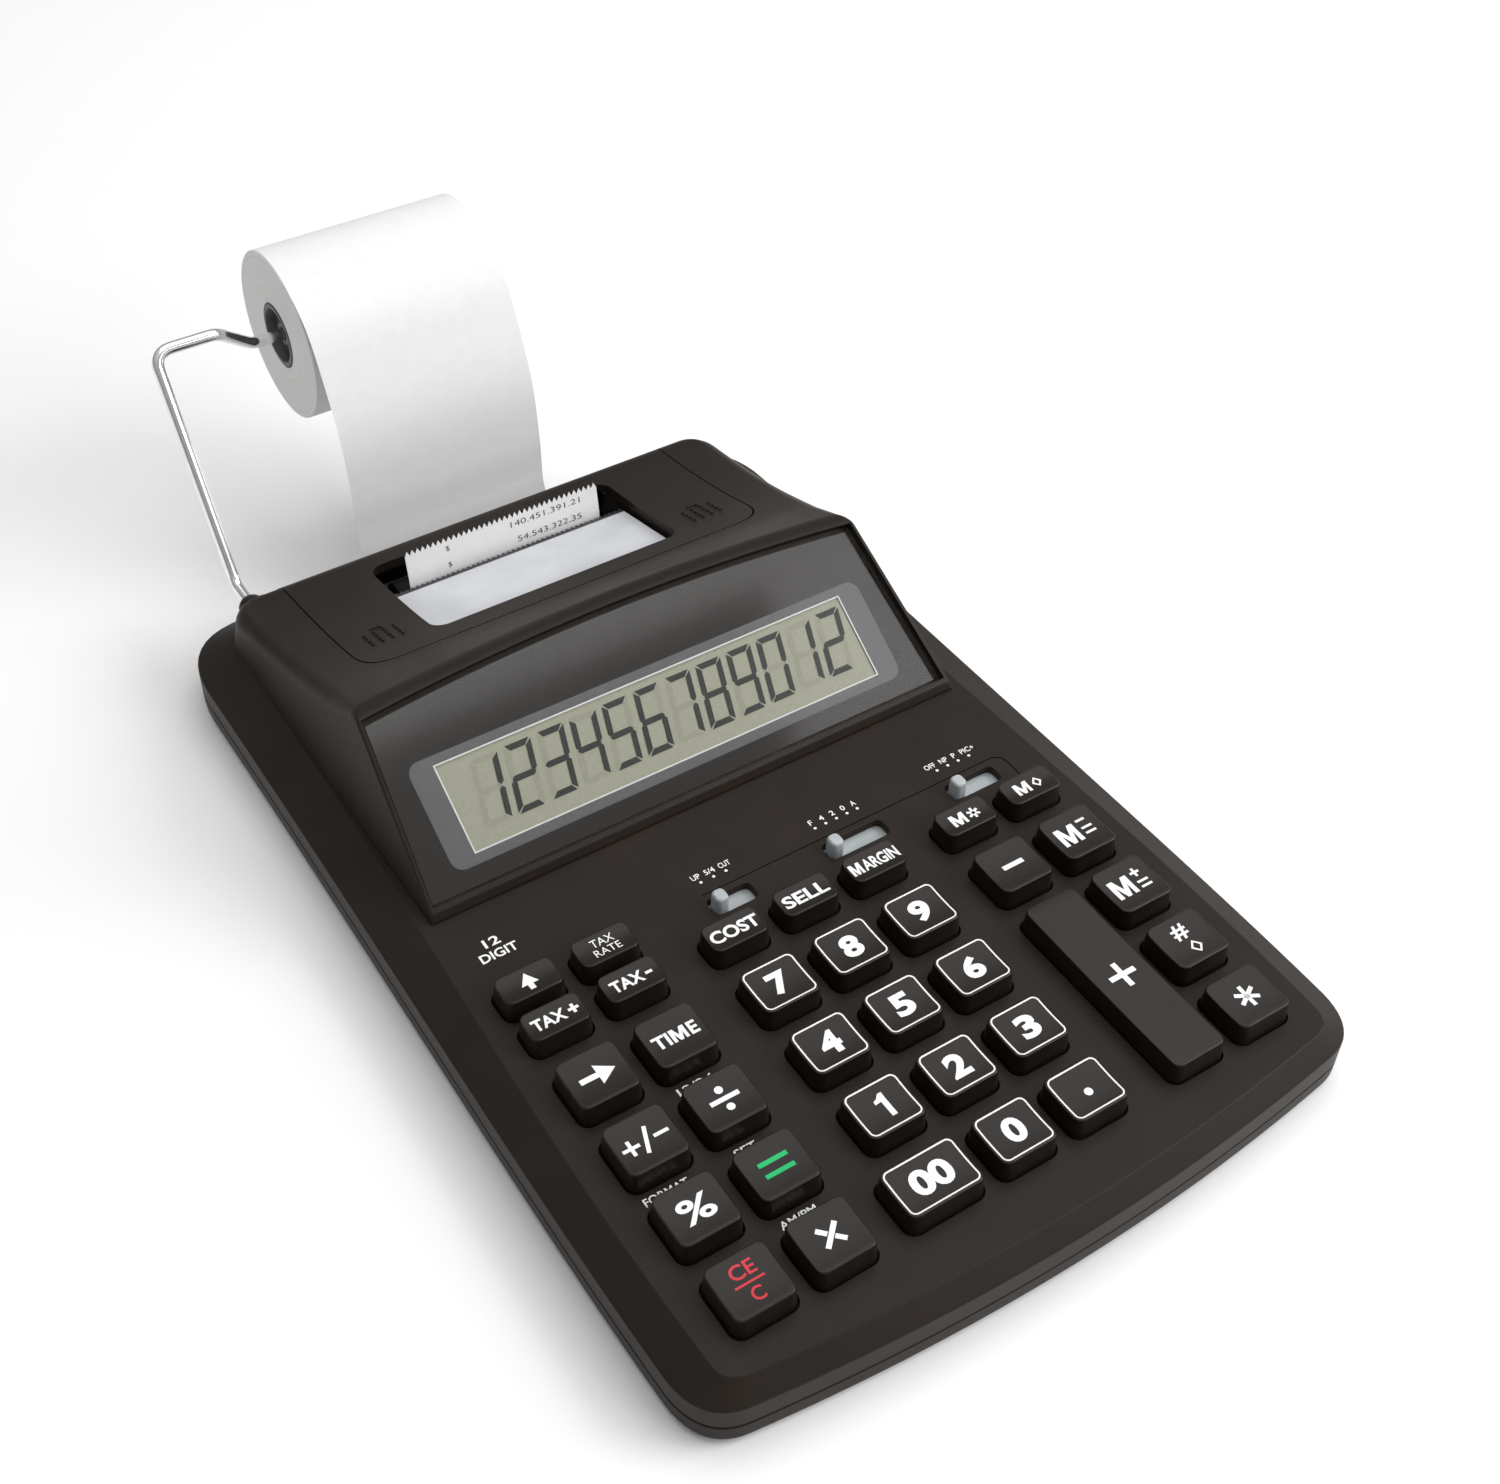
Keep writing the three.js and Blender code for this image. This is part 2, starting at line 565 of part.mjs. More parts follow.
for (const { name, y, half } of feet) {
  const foot = box(-half, half, -FOOT_DEPTH / 2, FOOT_DEPTH / 2, 0, FOOT_TOP_Z);
  addPiece(name, foot, rubber).position.y = y;
}

// ---- board and key mat --------------------------------------------------------------------
const BOARD_THICKNESS = 1.6;
const MAT_THICKNESS = 1.3;
const matZ = BOARD_Z + BOARD_THICKNESS + GAP;
addPiece('main_pcb', box(-74, 74, -66, 40, BOARD_Z, BOARD_Z + BOARD_THICKNESS), board);
addPiece('key_mat', box(-74, 74, -66, 36, matZ, matZ + MAT_THICKNESS), silicone);

// ---- printer ------------------------------------------------------------------------------
const CARRIAGE_Y = 150.5;
const GUIDE_Z = 10.5;
const INK_Y = 147.5;
const INK_Z = 22;
const GUIDE_RADIUS = 1.2;
const PLATEN_SHAFT = 1.5;
const INK_SHAFT = 1.2;
const PLATE_HALF_THICKNESS = 0.8;
const FRAME_BOTTOM_Z = FLOOR_Z + GAP;

const sidePlate = (x) => extrudeAlongX(
  vectors([[141, FRAME_BOTTOM_Z], [174, FRAME_BOTTOM_Z], [172, 20], [152, 24.6], [143, 25.4]]),
  x - PLATE_HALF_THICKNESS,
  x + PLATE_HALF_THICKNESS,
);
const printerFrame = cut(
  join(
    toSolid(box(-FRAME_HALF, FRAME_HALF, 141, 172, FRAME_BOTTOM_Z, FRAME_BOTTOM_Z + 1.5)),
    sidePlate(-FRAME_HALF),
    sidePlate(FRAME_HALF),
    rodX(GUIDE_RADIUS, -FRAME_HALF, FRAME_HALF, CARRIAGE_Y, GUIDE_Z, 12),
  ),
  rodX(PLATEN_SHAFT + GAP, -50, 50, PLATEN_Y, PLATEN_Z),
  rodX(INK_SHAFT + GAP, -50, 50, INK_Y, INK_Z),
);
addPiece('printer_frame', toGeometry(printerFrame), steel);

// A shaft along X whose radius steps at the listed places.
function steppedShaft(steps) {
  const profile = [new THREE.Vector2(0, steps[0].from)];
  for (const { radius, from, to } of steps) {
    profile.push(new THREE.Vector2(radius, from), new THREE.Vector2(radius, to));
  }
  profile.push(new THREE.Vector2(0, steps.at(-1).to));
  return new THREE.LatheGeometry(profile, 24).rotateZ(-Math.PI / 2);
}

// Each tooth takes a share of its pitch to rise, stay at the tip and fall again.
function gear(teeth, tipRadius, rootRadius, x0, x1) {
  const tooth = [[0, rootRadius], [0.3, tipRadius], [0.55, tipRadius], [0.85, rootRadius]];
  const outline = [];
  for (let i = 0; i < teeth; i += 1) {
    for (const [share, radius] of tooth) {
      const angle = (2 * Math.PI * (i + share)) / teeth;
      outline.push(new THREE.Vector2(radius * Math.cos(angle), radius * Math.sin(angle)));
    }
  }
  return extrudeAlongX(outline, x0, x1);
}

const GEAR_X = [41, 45];
const PLATEN_TEETH = 24;
const PINION_TEETH = 8;
const platen = join(
  toSolid(steppedShaft([
    { radius: PLATEN_SHAFT, from: -41, to: -30 },
    { radius: PLATEN_RADIUS, from: -30, to: 30 },
    { radius: PLATEN_SHAFT, from: 30, to: GEAR_X[1] },
  ])),
  gear(PLATEN_TEETH, 7.6, 6.6, ...GEAR_X),
);
addPiece('platen_roller', toGeometry(platen), rubber).position.set(0, PLATEN_Y, PLATEN_Z);
addPiece('ink_roller', steppedShaft([
  { radius: INK_SHAFT, from: -39.5, to: -12 },
  { radius: 3.6, from: -12, to: 12 },
  { radius: INK_SHAFT, from: 12, to: 39.5 },
]), inkFelt).position.set(0, INK_Y, INK_Z);

const pinion = join(
  toSolid(gear(PINION_TEETH, 2.7, 1.9, ...GEAR_X)),
  rodX(1, GEAR_X[1] - 1, MOTOR_X[0] - GAP, 0, 0, 12),
);
addPiece('motor_pinion', toGeometry(pinion), steel).position.set(0, MOTOR_Y, MOTOR_Z);
addPiece('drive_motor', rodX(MOTOR_RADIUS, ...MOTOR_X, 0, 0, 24), steel)
  .position.set(0, MOTOR_Y, MOTOR_Z);

const CARRIAGE_X = -20;
const carriage = cut(
  toSolid(box(-7, 7, -5, 5.6, -4.4, 6.6)),
  rodX(GUIDE_RADIUS + GAP, -20, 20, 0, 0, 12),
);
addPiece('print_carriage', toGeometry(carriage), blackPlastic)
  .position.set(CARRIAGE_X, CARRIAGE_Y, GUIDE_Z);

// ---- tear plate ---------------------------------------------------------------------------
const TEETH = 46;
const PLATE_HALF = 34.4;
const plateLow = new THREE.Vector2(155.4, 25.2);
const plateHigh = new THREE.Vector2(126.5, 32.4);
const plateLength = plateLow.distanceTo(plateHigh);
const plateOutline = vectors([[PLATE_HALF, plateLength], [-PLATE_HALF, plateLength]]);
for (let i = 0; i < TEETH; i += 1) {
  const pitch = (2 * PLATE_HALF) / TEETH;
  plateOutline.push(new THREE.Vector2(-PLATE_HALF + i * pitch, 0));
  plateOutline.push(new THREE.Vector2(-PLATE_HALF + (i + 0.5) * pitch, -0.9));
}
plateOutline.push(new THREE.Vector2(PLATE_HALF, 0));
const tearPlate = addPiece(
  'tear_plate',
  new THREE.ExtrudeGeometry(new THREE.Shape(plateOutline), { depth: 0.8, bevelEnabled: false }),
  silverPlate,
);
tearPlate.position.set(0, plateLow.x, plateLow.y);
tearPlate.rotation.set(Math.atan2(plateHigh.y - plateLow.y, plateLow.x - plateHigh.x), 0, Math.PI, 'ZXY');

// ---- paper --------------------------------------------------------------------------------
// The roll turns on the arm; the web hangs from its top, enters at the back, passes under and in
// front of the platen and stands up behind the tear plate.
const tube = (inner, outer, half) => new THREE.LatheGeometry(
  vectors([[inner, -half], [outer, -half], [outer, half], [inner, half], [inner, -half]]), 48,
).rotateZ(-Math.PI / 2);
addPiece('paper_roll', tube(CORE_RADIUS + GAP, ROLL_RADIUS, PAPER_WIDTH / 2), whitePaper)
  .position.set(0, ROLL_Y, ROLL_Z);
addPiece('roll_core', tube(WIRE_RADIUS + GAP, CORE_RADIUS, PAPER_WIDTH / 2 + 0.2), hubPlastic)
  .position.set(0, ROLL_Y, ROLL_Z);

const webRoute = new THREE.CatmullRomCurve3([
  [218.2, 83.6], [207.3, 76.2], [199.3, 62.5], [193.2, 47.8], [190.5, 30], [189.6, 15.5],
  [186.9, 10.6], [181.5, 9.3], [172, 9.1], [164.5, 9], [159.8, 11], [157.9, 15.6],
  [157.9, 23.5], [159.4, 33.8],
].map(([y, z]) => new THREE.Vector3(0, y, z)), false, 'centripetal');
const WEB_THICKNESS = 0.4;
const WEB_STEPS = 40;
const webSide = (offset) => Array.from({ length: WEB_STEPS + 1 }, (_, i) => {
  const at = webRoute.getPointAt(i / WEB_STEPS);
  const along = webRoute.getTangentAt(i / WEB_STEPS);
  return new THREE.Vector2(at.y - along.z * offset, at.z + along.y * offset);
});
const webOutline = [...webSide(WEB_THICKNESS / 2), ...webSide(-WEB_THICKNESS / 2).reverse()];
addPiece('paper_web', extrudeAlongX(webOutline, -PAPER_WIDTH / 2, PAPER_WIDTH / 2), whitePaper);

// ---- paper arm ----------------------------------------------------------------------------
// One bent wire: socket, leg, cross bar, a step down to the roll's axis, and the axle itself.
function roundedRoute(corners, radius) {
  const route = new THREE.CurvePath();
  let from = corners[0];
  for (let i = 1; i + 1 < corners.length; i += 1) {
    const back = corners[i - 1].clone().sub(corners[i]).setLength(radius).add(corners[i]);
    const ahead = corners[i + 1].clone().sub(corners[i]).setLength(radius).add(corners[i]);
    route.add(new THREE.LineCurve3(from, back));
    route.add(new THREE.QuadraticBezierCurve3(back, corners[i], ahead));
    from = ahead;
  }
  route.add(new THREE.LineCurve3(from, corners.at(-1)));
  return route;
}

const armRoute = roundedRoute([
  [ARM_X, 168, ARM_Z], [ARM_X, 185, ARM_Z], [ARM_X, 217.6, 75.6], [-48.5, 217.6, 75.6],
  [-36, ROLL_Y, ROLL_Z], [PAPER_WIDTH / 2 + 3, ROLL_Y, ROLL_Z],
].map((p) => new THREE.Vector3(...p)), 6);
const wireSection = new THREE.Shape();
wireSection.absarc(0, 0, WIRE_RADIUS, 0, 2 * Math.PI, false);
addPiece('paper_arm', new THREE.ExtrudeGeometry(wireSection, {
  curveSegments: 5,
  steps: 70,
  extrudePath: armRoute,
}), chrome);

// ---- power inlet --------------------------------------------------------------------------
const jackX = (JACK_X[0] + JACK_X[1]) / 2;
const jack = cut(
  toSolid(box(...JACK_X, ...JACK_Y, ...JACK_Z)),
  rodY(JACK_BORE_RADIUS, JACK_Y[0] + 4, JACK_Y[1] + 3, jackX, JACK_BORE_Z),
);
const contact = rodY(0.9, JACK_Y[0] + 3, JACK_Y[1] - 1, jackX, JACK_BORE_Z, 12);
addPiece('dc_jack', toGeometry(join(jack, contact)), blackPlastic);

// ---- place the origin below the middle of the whole object --------------------------------
const extent = new THREE.Box3().setFromObject(root);
root.position.set(0, -(extent.min.y + extent.max.y) / 2, -extent.min.z);

export default root;
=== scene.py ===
import json
import math

import bmesh
import bpy
from mathutils import Matrix, Vector


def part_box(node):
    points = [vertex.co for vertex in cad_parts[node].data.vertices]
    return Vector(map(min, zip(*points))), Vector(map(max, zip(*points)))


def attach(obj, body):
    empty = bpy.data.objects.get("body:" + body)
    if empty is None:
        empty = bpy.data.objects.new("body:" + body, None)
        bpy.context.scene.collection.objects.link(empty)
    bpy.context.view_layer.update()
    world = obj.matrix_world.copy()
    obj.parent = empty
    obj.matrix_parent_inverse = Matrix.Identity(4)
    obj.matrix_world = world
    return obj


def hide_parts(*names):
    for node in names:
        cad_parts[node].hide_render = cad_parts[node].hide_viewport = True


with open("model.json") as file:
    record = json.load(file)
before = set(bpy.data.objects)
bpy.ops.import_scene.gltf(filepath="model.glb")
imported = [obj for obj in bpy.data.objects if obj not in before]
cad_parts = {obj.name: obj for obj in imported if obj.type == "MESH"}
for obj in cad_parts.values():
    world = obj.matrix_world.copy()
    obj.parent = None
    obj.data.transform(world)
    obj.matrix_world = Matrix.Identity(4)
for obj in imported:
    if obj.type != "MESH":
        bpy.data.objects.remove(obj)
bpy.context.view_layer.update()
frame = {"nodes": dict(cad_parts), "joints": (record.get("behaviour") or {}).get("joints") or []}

# ---- frame ---------------------------------------------------------------------------------
# Sizes are in millimetres. x is measured from the middle of the machine, y from the row of the
# 7, 8 and 9 keys and z from the desk, and place() turns such a point into the frame's metres.
MM = 0.001
row_low, row_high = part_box("key_8")
ROW_Y = (row_low[1] / MM + row_high[1] / MM) / 2


def place(x, y, z):
    return Vector((x * MM, (y + ROW_Y) * MM, z * MM))


def node_box(node):
    """A CAD node's box in millimetres: (x0, x1), (y0, y1), (z0, z1), with y from the key row."""
    low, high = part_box(node)
    return [(low[i] / MM - shift, high[i] / MM - shift) for i, shift in enumerate((0, ROW_Y, 0))]


def middle(node):
    return [(a + b) / 2 for a, b in node_box(node)]


# ---- driving dimensions --------------------------------------------------------------------
GAP = 0.3
WALL = 2.2
DECK_Z = 16.75
PANEL_THICKNESS = 2.0
EDGE_Z = 12.7
PARTING_Z = 6.4
FLOOR_Z = 3.0
KEY_TOP_Z = node_box("key_8")[2][1]
KEY_FLARE = 0.5
KEY_FLANGE = 0.75
KEY_CORNER = 1.9
KEY_DISH = 0.38
PRINT_LIFT = 0.03  # printed ink stands this far above the plastic
FACE_ANGLE = math.radians(33.5)
FACE_Y = 61.5
FACE_Z = 19.3
LENS_LENGTH = 45
LENS_HALF_BOTTOM = 72.2
LENS_HALF_TOP = 68.5
LENS_THICKNESS = 1.6
RIM_HEIGHT = 0.9
HOOD_HALF_DECK = 74.2
HOOD_DRAFT = 0.15
HOOD_REAR_Y = 176.3
COVER_HALF = 57
COVER_FRONT_Y = 121
COVER_BOTTOM_Z = 21
WINDOW_HALF = 35.6
WINDOW_FRONT_Y = 128
WINDOW_REAR_Y = 168
PAPER_HALF = 28.5
ROLL_RADIUS = 23
CORE_RADIUS = 8.7
WIRE_RADIUS = 1.6
ROLL_Y, ROLL_Z = middle("roll_core")[1:]
ARM_X = -65.5
ARM_Z = 22.8


# ---- plane geometry ------------------------------------------------------------------------
def bezier(controls, steps):
    """Points after the first control point on a Bezier curve of any degree."""
    degree = len(controls) - 1
    points = []
    for i in range(1, steps + 1):
        t = i / steps
        weights = [math.comb(degree, k) * (1 - t) ** (degree - k) * t**k for k in range(degree + 1)]
        points.append(tuple(sum(w * c[axis] for w, c in zip(weights, controls)) for axis in (0, 1)))
    return points


def circle(x, y, radius, sides):
    turns = [2 * math.pi * i / sides for i in range(sides)]
    return [(x + radius * math.cos(turn), y + radius * math.sin(turn)) for turn in turns]


def plan_outline(front, bow, front_half, corner, corner_end, side, rear_start, rear_corner, rear):
    """The case from above: a bowed front, round corners and sides that draw in to the back."""
    half = [(0, front)]
    half += bezier((half[-1], (front_half / 2, front), (front_half, front + bow)), 16)
    half += bezier((half[-1], corner, corner_end), 12)
    half += bezier((half[-1], side[:2], side[2:], rear_start), 22)
    half += bezier((half[-1], rear_corner, rear), 10)
    return half + [(-x, y) for x, y in reversed(half[1:])]


CASE_OUTLINE = plan_outline(
    -81, 5.3, 76, (86.4, -74.3), (87.2, -62), (88.6, -10, 85.3, 60), (85, 162), (84.6, 183.5), (66, 183.5)
)
PANEL_OUTLINE = plan_outline(
    -76.8, 5.2, 74, (79, -70.9), (79.3, -66), (82, 10, 74.5, 50), (74, 160), (73.8, 176), (62, 176)
)


def between(outline_a, outline_b, share):
    return [
        (a[0] + (b[0] - a[0]) * share, a[1] + (b[1] - a[1]) * share)
        for a, b in zip(outline_a, outline_b)
    ]


def inset(outline, distance):
    """Moves every edge of a counter-clockwise outline inwards by a distance."""
    count = len(outline)
    moved = []
    for i, point in enumerate(outline):
        here = Vector(point)
        edge_in = (here - Vector(outline[i - 1])).normalized()
        edge_out = (Vector(outline[(i + 1) % count]) - here).normalized()
        normal_in = Vector((-edge_in.y, edge_in.x))
        normal_out = Vector((-edge_out.y, edge_out.x))
        mid = (normal_in + normal_out).normalized()
        moved.append(tuple(here + mid * (distance / max(mid.dot(normal_in), 0.3))))
    return moved


def rounded_rectangle(width, depth, radius, steps=6, centre=(0, 0)):
    points = []
    corners = ((1, 1), (-1, 1), (-1, -1), (1, -1))
    for corner, (side_x, side_y) in enumerate(corners):
        for i in range(steps + 1):
            angle = (corner + i / steps) * math.pi / 2
            points.append((
                centre[0] + side_x * (width / 2 - radius) + radius * math.cos(angle),
                centre[1] + side_y * (depth / 2 - radius) + radius * math.sin(angle),
            ))
    return points


def rounded_corners(corners, steps=5):
    """An open line through (a, b, radius) corners, each turned into an arc-like curve."""
    points = [corners[0][:2]]
    for before, here, after in zip(corners, corners[1:], corners[2:]):
        p = Vector(here[:2])
        to_before = Vector(before[:2]) - p
        to_after = Vector(after[:2]) - p
        reach = min(here[2], to_before.length * 0.49, to_after.length * 0.49)
        if reach < 1e-3:
            points.append(here[:2])
            continue
        start = p + to_before.normalized() * reach
        end = p + to_after.normalized() * reach
        points.append(tuple(start))
        points += bezier((start, p, end), steps)
    return points + [corners[-1][:2]]


def on_face(along, above):
    """A point (y, z) given along the display's slope and above the face of its lens."""
    return (
        FACE_Y + along * math.cos(FACE_ANGLE) - above * math.sin(FACE_ANGLE),
        FACE_Z + along * math.sin(FACE_ANGLE) + above * math.cos(FACE_ANGLE),
    )


# ---- meshes --------------------------------------------------------------------------------
def new_object(name, data):
    piece = bpy.data.objects.new(name, data)
    bpy.context.scene.collection.objects.link(piece)
    return piece


def object_from_bmesh(name, shape):
    mesh = bpy.data.meshes.new(name)
    shape.to_mesh(mesh)
    shape.free()
    return new_object(name, mesh)


def object_from(name, points, faces):
    """A mesh object from points in millimetres and faces."""
    mesh = bpy.data.meshes.new(name)
    mesh.from_pydata([place(*p) for p in points], [], faces)
    mesh.validate()
    fixed = bmesh.new()
    fixed.from_mesh(mesh)
    bmesh.ops.recalc_face_normals(fixed, faces=fixed.faces)
    fixed.to_mesh(mesh)
    fixed.free()
    return new_object(name, mesh)


def loft(name, levels):
    """A closed solid through rings of equal count."""
    count = len(levels[0])
    points = [p for ring in levels for p in ring]
    faces = []
    for level in range(len(levels) - 1):
        for i in range(count):
            a = level * count + i
            b = level * count + (i + 1) % count
            faces.append((a, b, b + count, a + count))
    last = (len(levels) - 1) * count
    faces.append(tuple(reversed(range(count))))
    faces.append(tuple(last + i for i in range(count)))
    return object_from(name, points, faces)


def flat_levels(*pairs):
    """Rings of an upright loft from (outline, z) pairs."""
    return [[(x, y, z) for x, y in outline] for outline, z in pairs]


def block(x0, x1, y0, y1, z0, z1):
    outline = [(x0, y0), (x1, y0), (x1, y1), (x0, y1)]
    return loft("block", flat_levels((outline, z0), (outline, z1)))


def lathe_x(name, profile, y, z, sides=96):
    """A closed solid turned about the line (y, z): profile is a closed list of (x, radius)."""
    count = len(profile)
    points, faces = [], []
    for i in range(sides):
        angle = 2 * math.pi * i / sides
        points += [(x, y + r * math.cos(angle), z + r * math.sin(angle)) for x, r in profile]
        for k in range(count):
            here, ahead = i * count, (i + 1) % sides * count
            faces.append((here + k, here + (k + 1) % count, ahead + (k + 1) % count, ahead + k))
    return object_from(name, points, faces)


def cylinder_y(radius, y0, y1, x, z, sides=48, fillet=0.0):
    """A rod along Y; its rear end may be rounded."""
    profile = [(y0, radius), (y1 - fillet, radius)]
    for i in range(1, 5 if fillet else 1):
        angle = i / 4 * math.pi / 2
        profile.append((y1 - fillet + fillet * math.sin(angle), radius - fillet + fillet * math.cos(angle)))
    return loft("rod", [[(x + a, y, z - b) for a, b in circle(0, 0, r, sides)] for y, r in profile])


def join_meshes(name, *objects):
    """One object that holds the meshes of several, which are removed."""
    joined = bmesh.new()
    for part in objects:
        joined.from_mesh(part.data)
        bpy.data.objects.remove(part)
    return object_from_bmesh(name, joined)


def boolean(target, operation, *tools):
    """Cuts, joins or intersects a piece with tool objects, which are removed."""
    for tool in tools:
        modifier = target.modifiers.new("boolean", "BOOLEAN")
        modifier.solver = "EXACT"
        modifier.operation = operation
        modifier.object = tool
        bpy.context.view_layer.update()
        graph = bpy.context.evaluated_depsgraph_get()
        mesh = bpy.data.meshes.new_from_object(target.evaluated_get(graph))
        target.modifiers.clear()
        target.data = mesh
        bpy.data.objects.remove(tool)
    return target


def clean(piece, merge=0.002):
    """Welds stray doubles that a boolean leaves and drops faces without area."""
    fixed = bmesh.new()
    fixed.from_mesh(piece.data)
    bmesh.ops.remove_doubles(fixed, verts=fixed.verts, dist=merge * MM)
    bmesh.ops.dissolve_degenerate(fixed, dist=merge * MM, edges=fixed.edges)
    fixed.to_mesh(piece.data)
    fixed.free()
    return piece


def bevel_edges(piece, width, segments, angle):
    bevel = piece.modifiers.new("edge", "BEVEL")
    bevel.width = width * MM
    bevel.segments = segments
    bevel.limit_method = "ANGLE"
    bevel.angle_limit = math.radians(angle)


def finish_piece(piece, name, material, body, replaces=(), angle=32, weighted=False):
    """Names a piece, shades it smooth up to an angle and puts it on its body."""
    piece.name = name
    piece.data.name = name
    piece.data.materials.clear()
    piece.data.materials.append(material)
    for polygon in piece.data.polygons:
        polygon.use_smooth = True
    piece.data.set_sharp_from_angle(angle=math.radians(angle))
    if weighted:
        modifier = piece.modifiers.new("normals", "WEIGHTED_NORMAL")
        modifier.keep_sharp = True
        modifier.weight = 80
    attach(piece, body)
    if replaces:
        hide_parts(*replaces)
    return piece


# ---- materials -----------------------------------------------------------------------------
class Look:
    """A new material with its node tree at hand."""

    def __init__(self, name):
        self.material = bpy.data.materials.new(name)
        self.material.use_nodes = True
        self.nodes = self.material.node_tree.nodes
        self.links = self.material.node_tree.links
        self.shader = self.nodes["Principled BSDF"]

    def set(self, **values):
        """Uniform values of the shader, with _ in place of the blanks in their names."""
        for name, value in values.items():
            self.shader.inputs[name.replace("_", " ")].default_value = value

    def link(self, output, socket):
        self.links.new(output, self.shader.inputs[socket])

    def noise(self, scale, detail=2.0, stretch=(1, 1, 1)):
        """The strength of a noise that is fixed to the object."""
        coordinates = self.nodes.new("ShaderNodeTexCoord")
        mapping = self.nodes.new("ShaderNodeMapping")
        mapping.inputs["Scale"].default_value = stretch
        texture = self.nodes.new("ShaderNodeTexNoise")
        texture.inputs["Scale"].default_value = scale
        texture.inputs["Detail"].default_value = detail
        self.links.new(coordinates.outputs["Object"], mapping.inputs["Vector"])
        self.links.new(mapping.outputs["Vector"], texture.inputs["Vector"])
        return texture.outputs["Fac"]

    def tint(self, source, colour, darker, lighter):
        """Lets the base colour waver between a darker and a lighter shade."""
        low, high = [[min(1, c * factor) for c in colour] for factor in (darker, lighter)]
        self.link(plain_ramp(self.nodes, self.links, source, low, high), "Base Color")

    def gloss(self, source, low, high):
        scale = self.nodes.new("ShaderNodeMapRange")
        scale.inputs["To Min"].default_value = low
        scale.inputs["To Max"].default_value = high
        self.links.new(source, scale.inputs["Value"])
        self.link(scale.outputs["Result"], "Roughness")

    def bump(self, source, strength, distance):
        bump = self.nodes.new("ShaderNodeBump")
        bump.inputs["Strength"].default_value = strength
        bump.inputs["Distance"].default_value = distance * MM
        self.links.new(source, bump.inputs["Height"])
        self.link(bump.outputs["Normal"], "Normal")

    def vector_math(self, operation, source, value=(0, 0, 0)):
        node = self.nodes.new("ShaderNodeVectorMath")
        node.operation = operation
        node.inputs[1].default_value = value
        self.links.new(source, node.inputs[0])
        return node.outputs["Value" if operation == "LENGTH" else "Vector"]


def plain_ramp(nodes, links, source, low, high, start=0.3, end=0.7):
    ramp = nodes.new("ShaderNodeValToRGB")
    for element, position, colour in zip(ramp.color_ramp.elements, (start, end), (low, high)):
        element.position = position
        element.color = (*colour, 1)
    links.new(source, ramp.inputs["Fac"])
    return ramp.outputs["Color"]


def moulded(name, colour, roughness, grain, depth, specular=0.4):
    """Moulded plastic: an even colour with slight mottling, fine grain and uneven gloss."""
    look = Look(name)
    look.tint(look.noise(60, 3), colour, 0.9, 1.12)
    fine = look.noise(grain)
    look.gloss(fine, roughness - 0.06, roughness + 0.06)
    look.set(Specular_IOR_Level=specular)
    look.bump(fine, 1.0, depth)
    return look.material


def metal(name, colour, roughness, stretch):
    """Drawn or brushed metal: fine lines along one direction."""
    look = Look(name)
    lines = look.noise(900, 2, stretch)
    look.tint(lines, colour, 0.93, 1.04)
    look.gloss(lines, roughness * 0.7, roughness * 1.4)
    look.set(Metallic=1)
    return look.material


def fibrous(name, colour, roughness, scale, depth):
    """Paper, felt and foam: cloudy colour and short fibres."""
    look = Look(name)
    look.tint(look.noise(scale / 6, 4), colour, 0.975, 1.01)
    look.set(Roughness=roughness, Specular_IOR_Level=0.2)
    look.bump(look.noise(scale, 4), 0.6, depth)
    return look.material


def wound_paper(name, colour):
    """The ends of the roll: rings of wound paper about the axle."""
    look = Look(name)
    coordinates = look.nodes.new("ShaderNodeTexCoord").outputs["Object"]
    from_axle = look.vector_math("SUBTRACT", coordinates, place(0, ROLL_Y, ROLL_Z))
    across_axle = look.vector_math("MULTIPLY", from_axle, (0, 1, 1))
    rings = look.nodes.new("ShaderNodeTexNoise")
    rings.noise_dimensions = "1D"
    rings.inputs["Scale"].default_value = 2600
    rings.inputs["Detail"].default_value = 3
    look.links.new(look.vector_math("LENGTH", across_axle), rings.inputs["W"])
    look.tint(rings.outputs["Fac"], colour, 0.86, 1.03)
    look.set(Roughness=0.85, Specular_IOR_Level=0.2)
    look.bump(rings.outputs["Fac"], 0.5, 0.05)
    return look.material


def ink(name, colour, roughness=0.5, specular=0.3):
    """Printed ink with faint unevenness."""
    look = Look(name)
    look.tint(look.noise(900), colour, 0.94, 1.02)
    look.set(Roughness=roughness, Specular_IOR_Level=specular)
    return look.material


def clear_acrylic(name, opacity, index):
    """Thin clear acrylic: it lets most light through, and a small dark share reflects the lamps."""
    look = Look(name)
    shades = (0.010, 0.009, 0.008), (0.014, 0.013, 0.012)
    look.link(plain_ramp(look.nodes, look.links, look.noise(30, 1), *shades), "Base Color")
    look.set(Roughness=0.13, IOR=index)
    see_through = look.nodes.new("ShaderNodeBsdfTransparent")
    mix = look.nodes.new("ShaderNodeMixShader")
    mix.inputs["Fac"].default_value = opacity
    look.links.new(see_through.outputs["BSDF"], mix.inputs[1])
    look.links.new(look.shader.outputs["BSDF"], mix.inputs[2])
    look.links.new(mix.outputs["Shader"], look.nodes["Material Output"].inputs["Surface"])
    return look.material


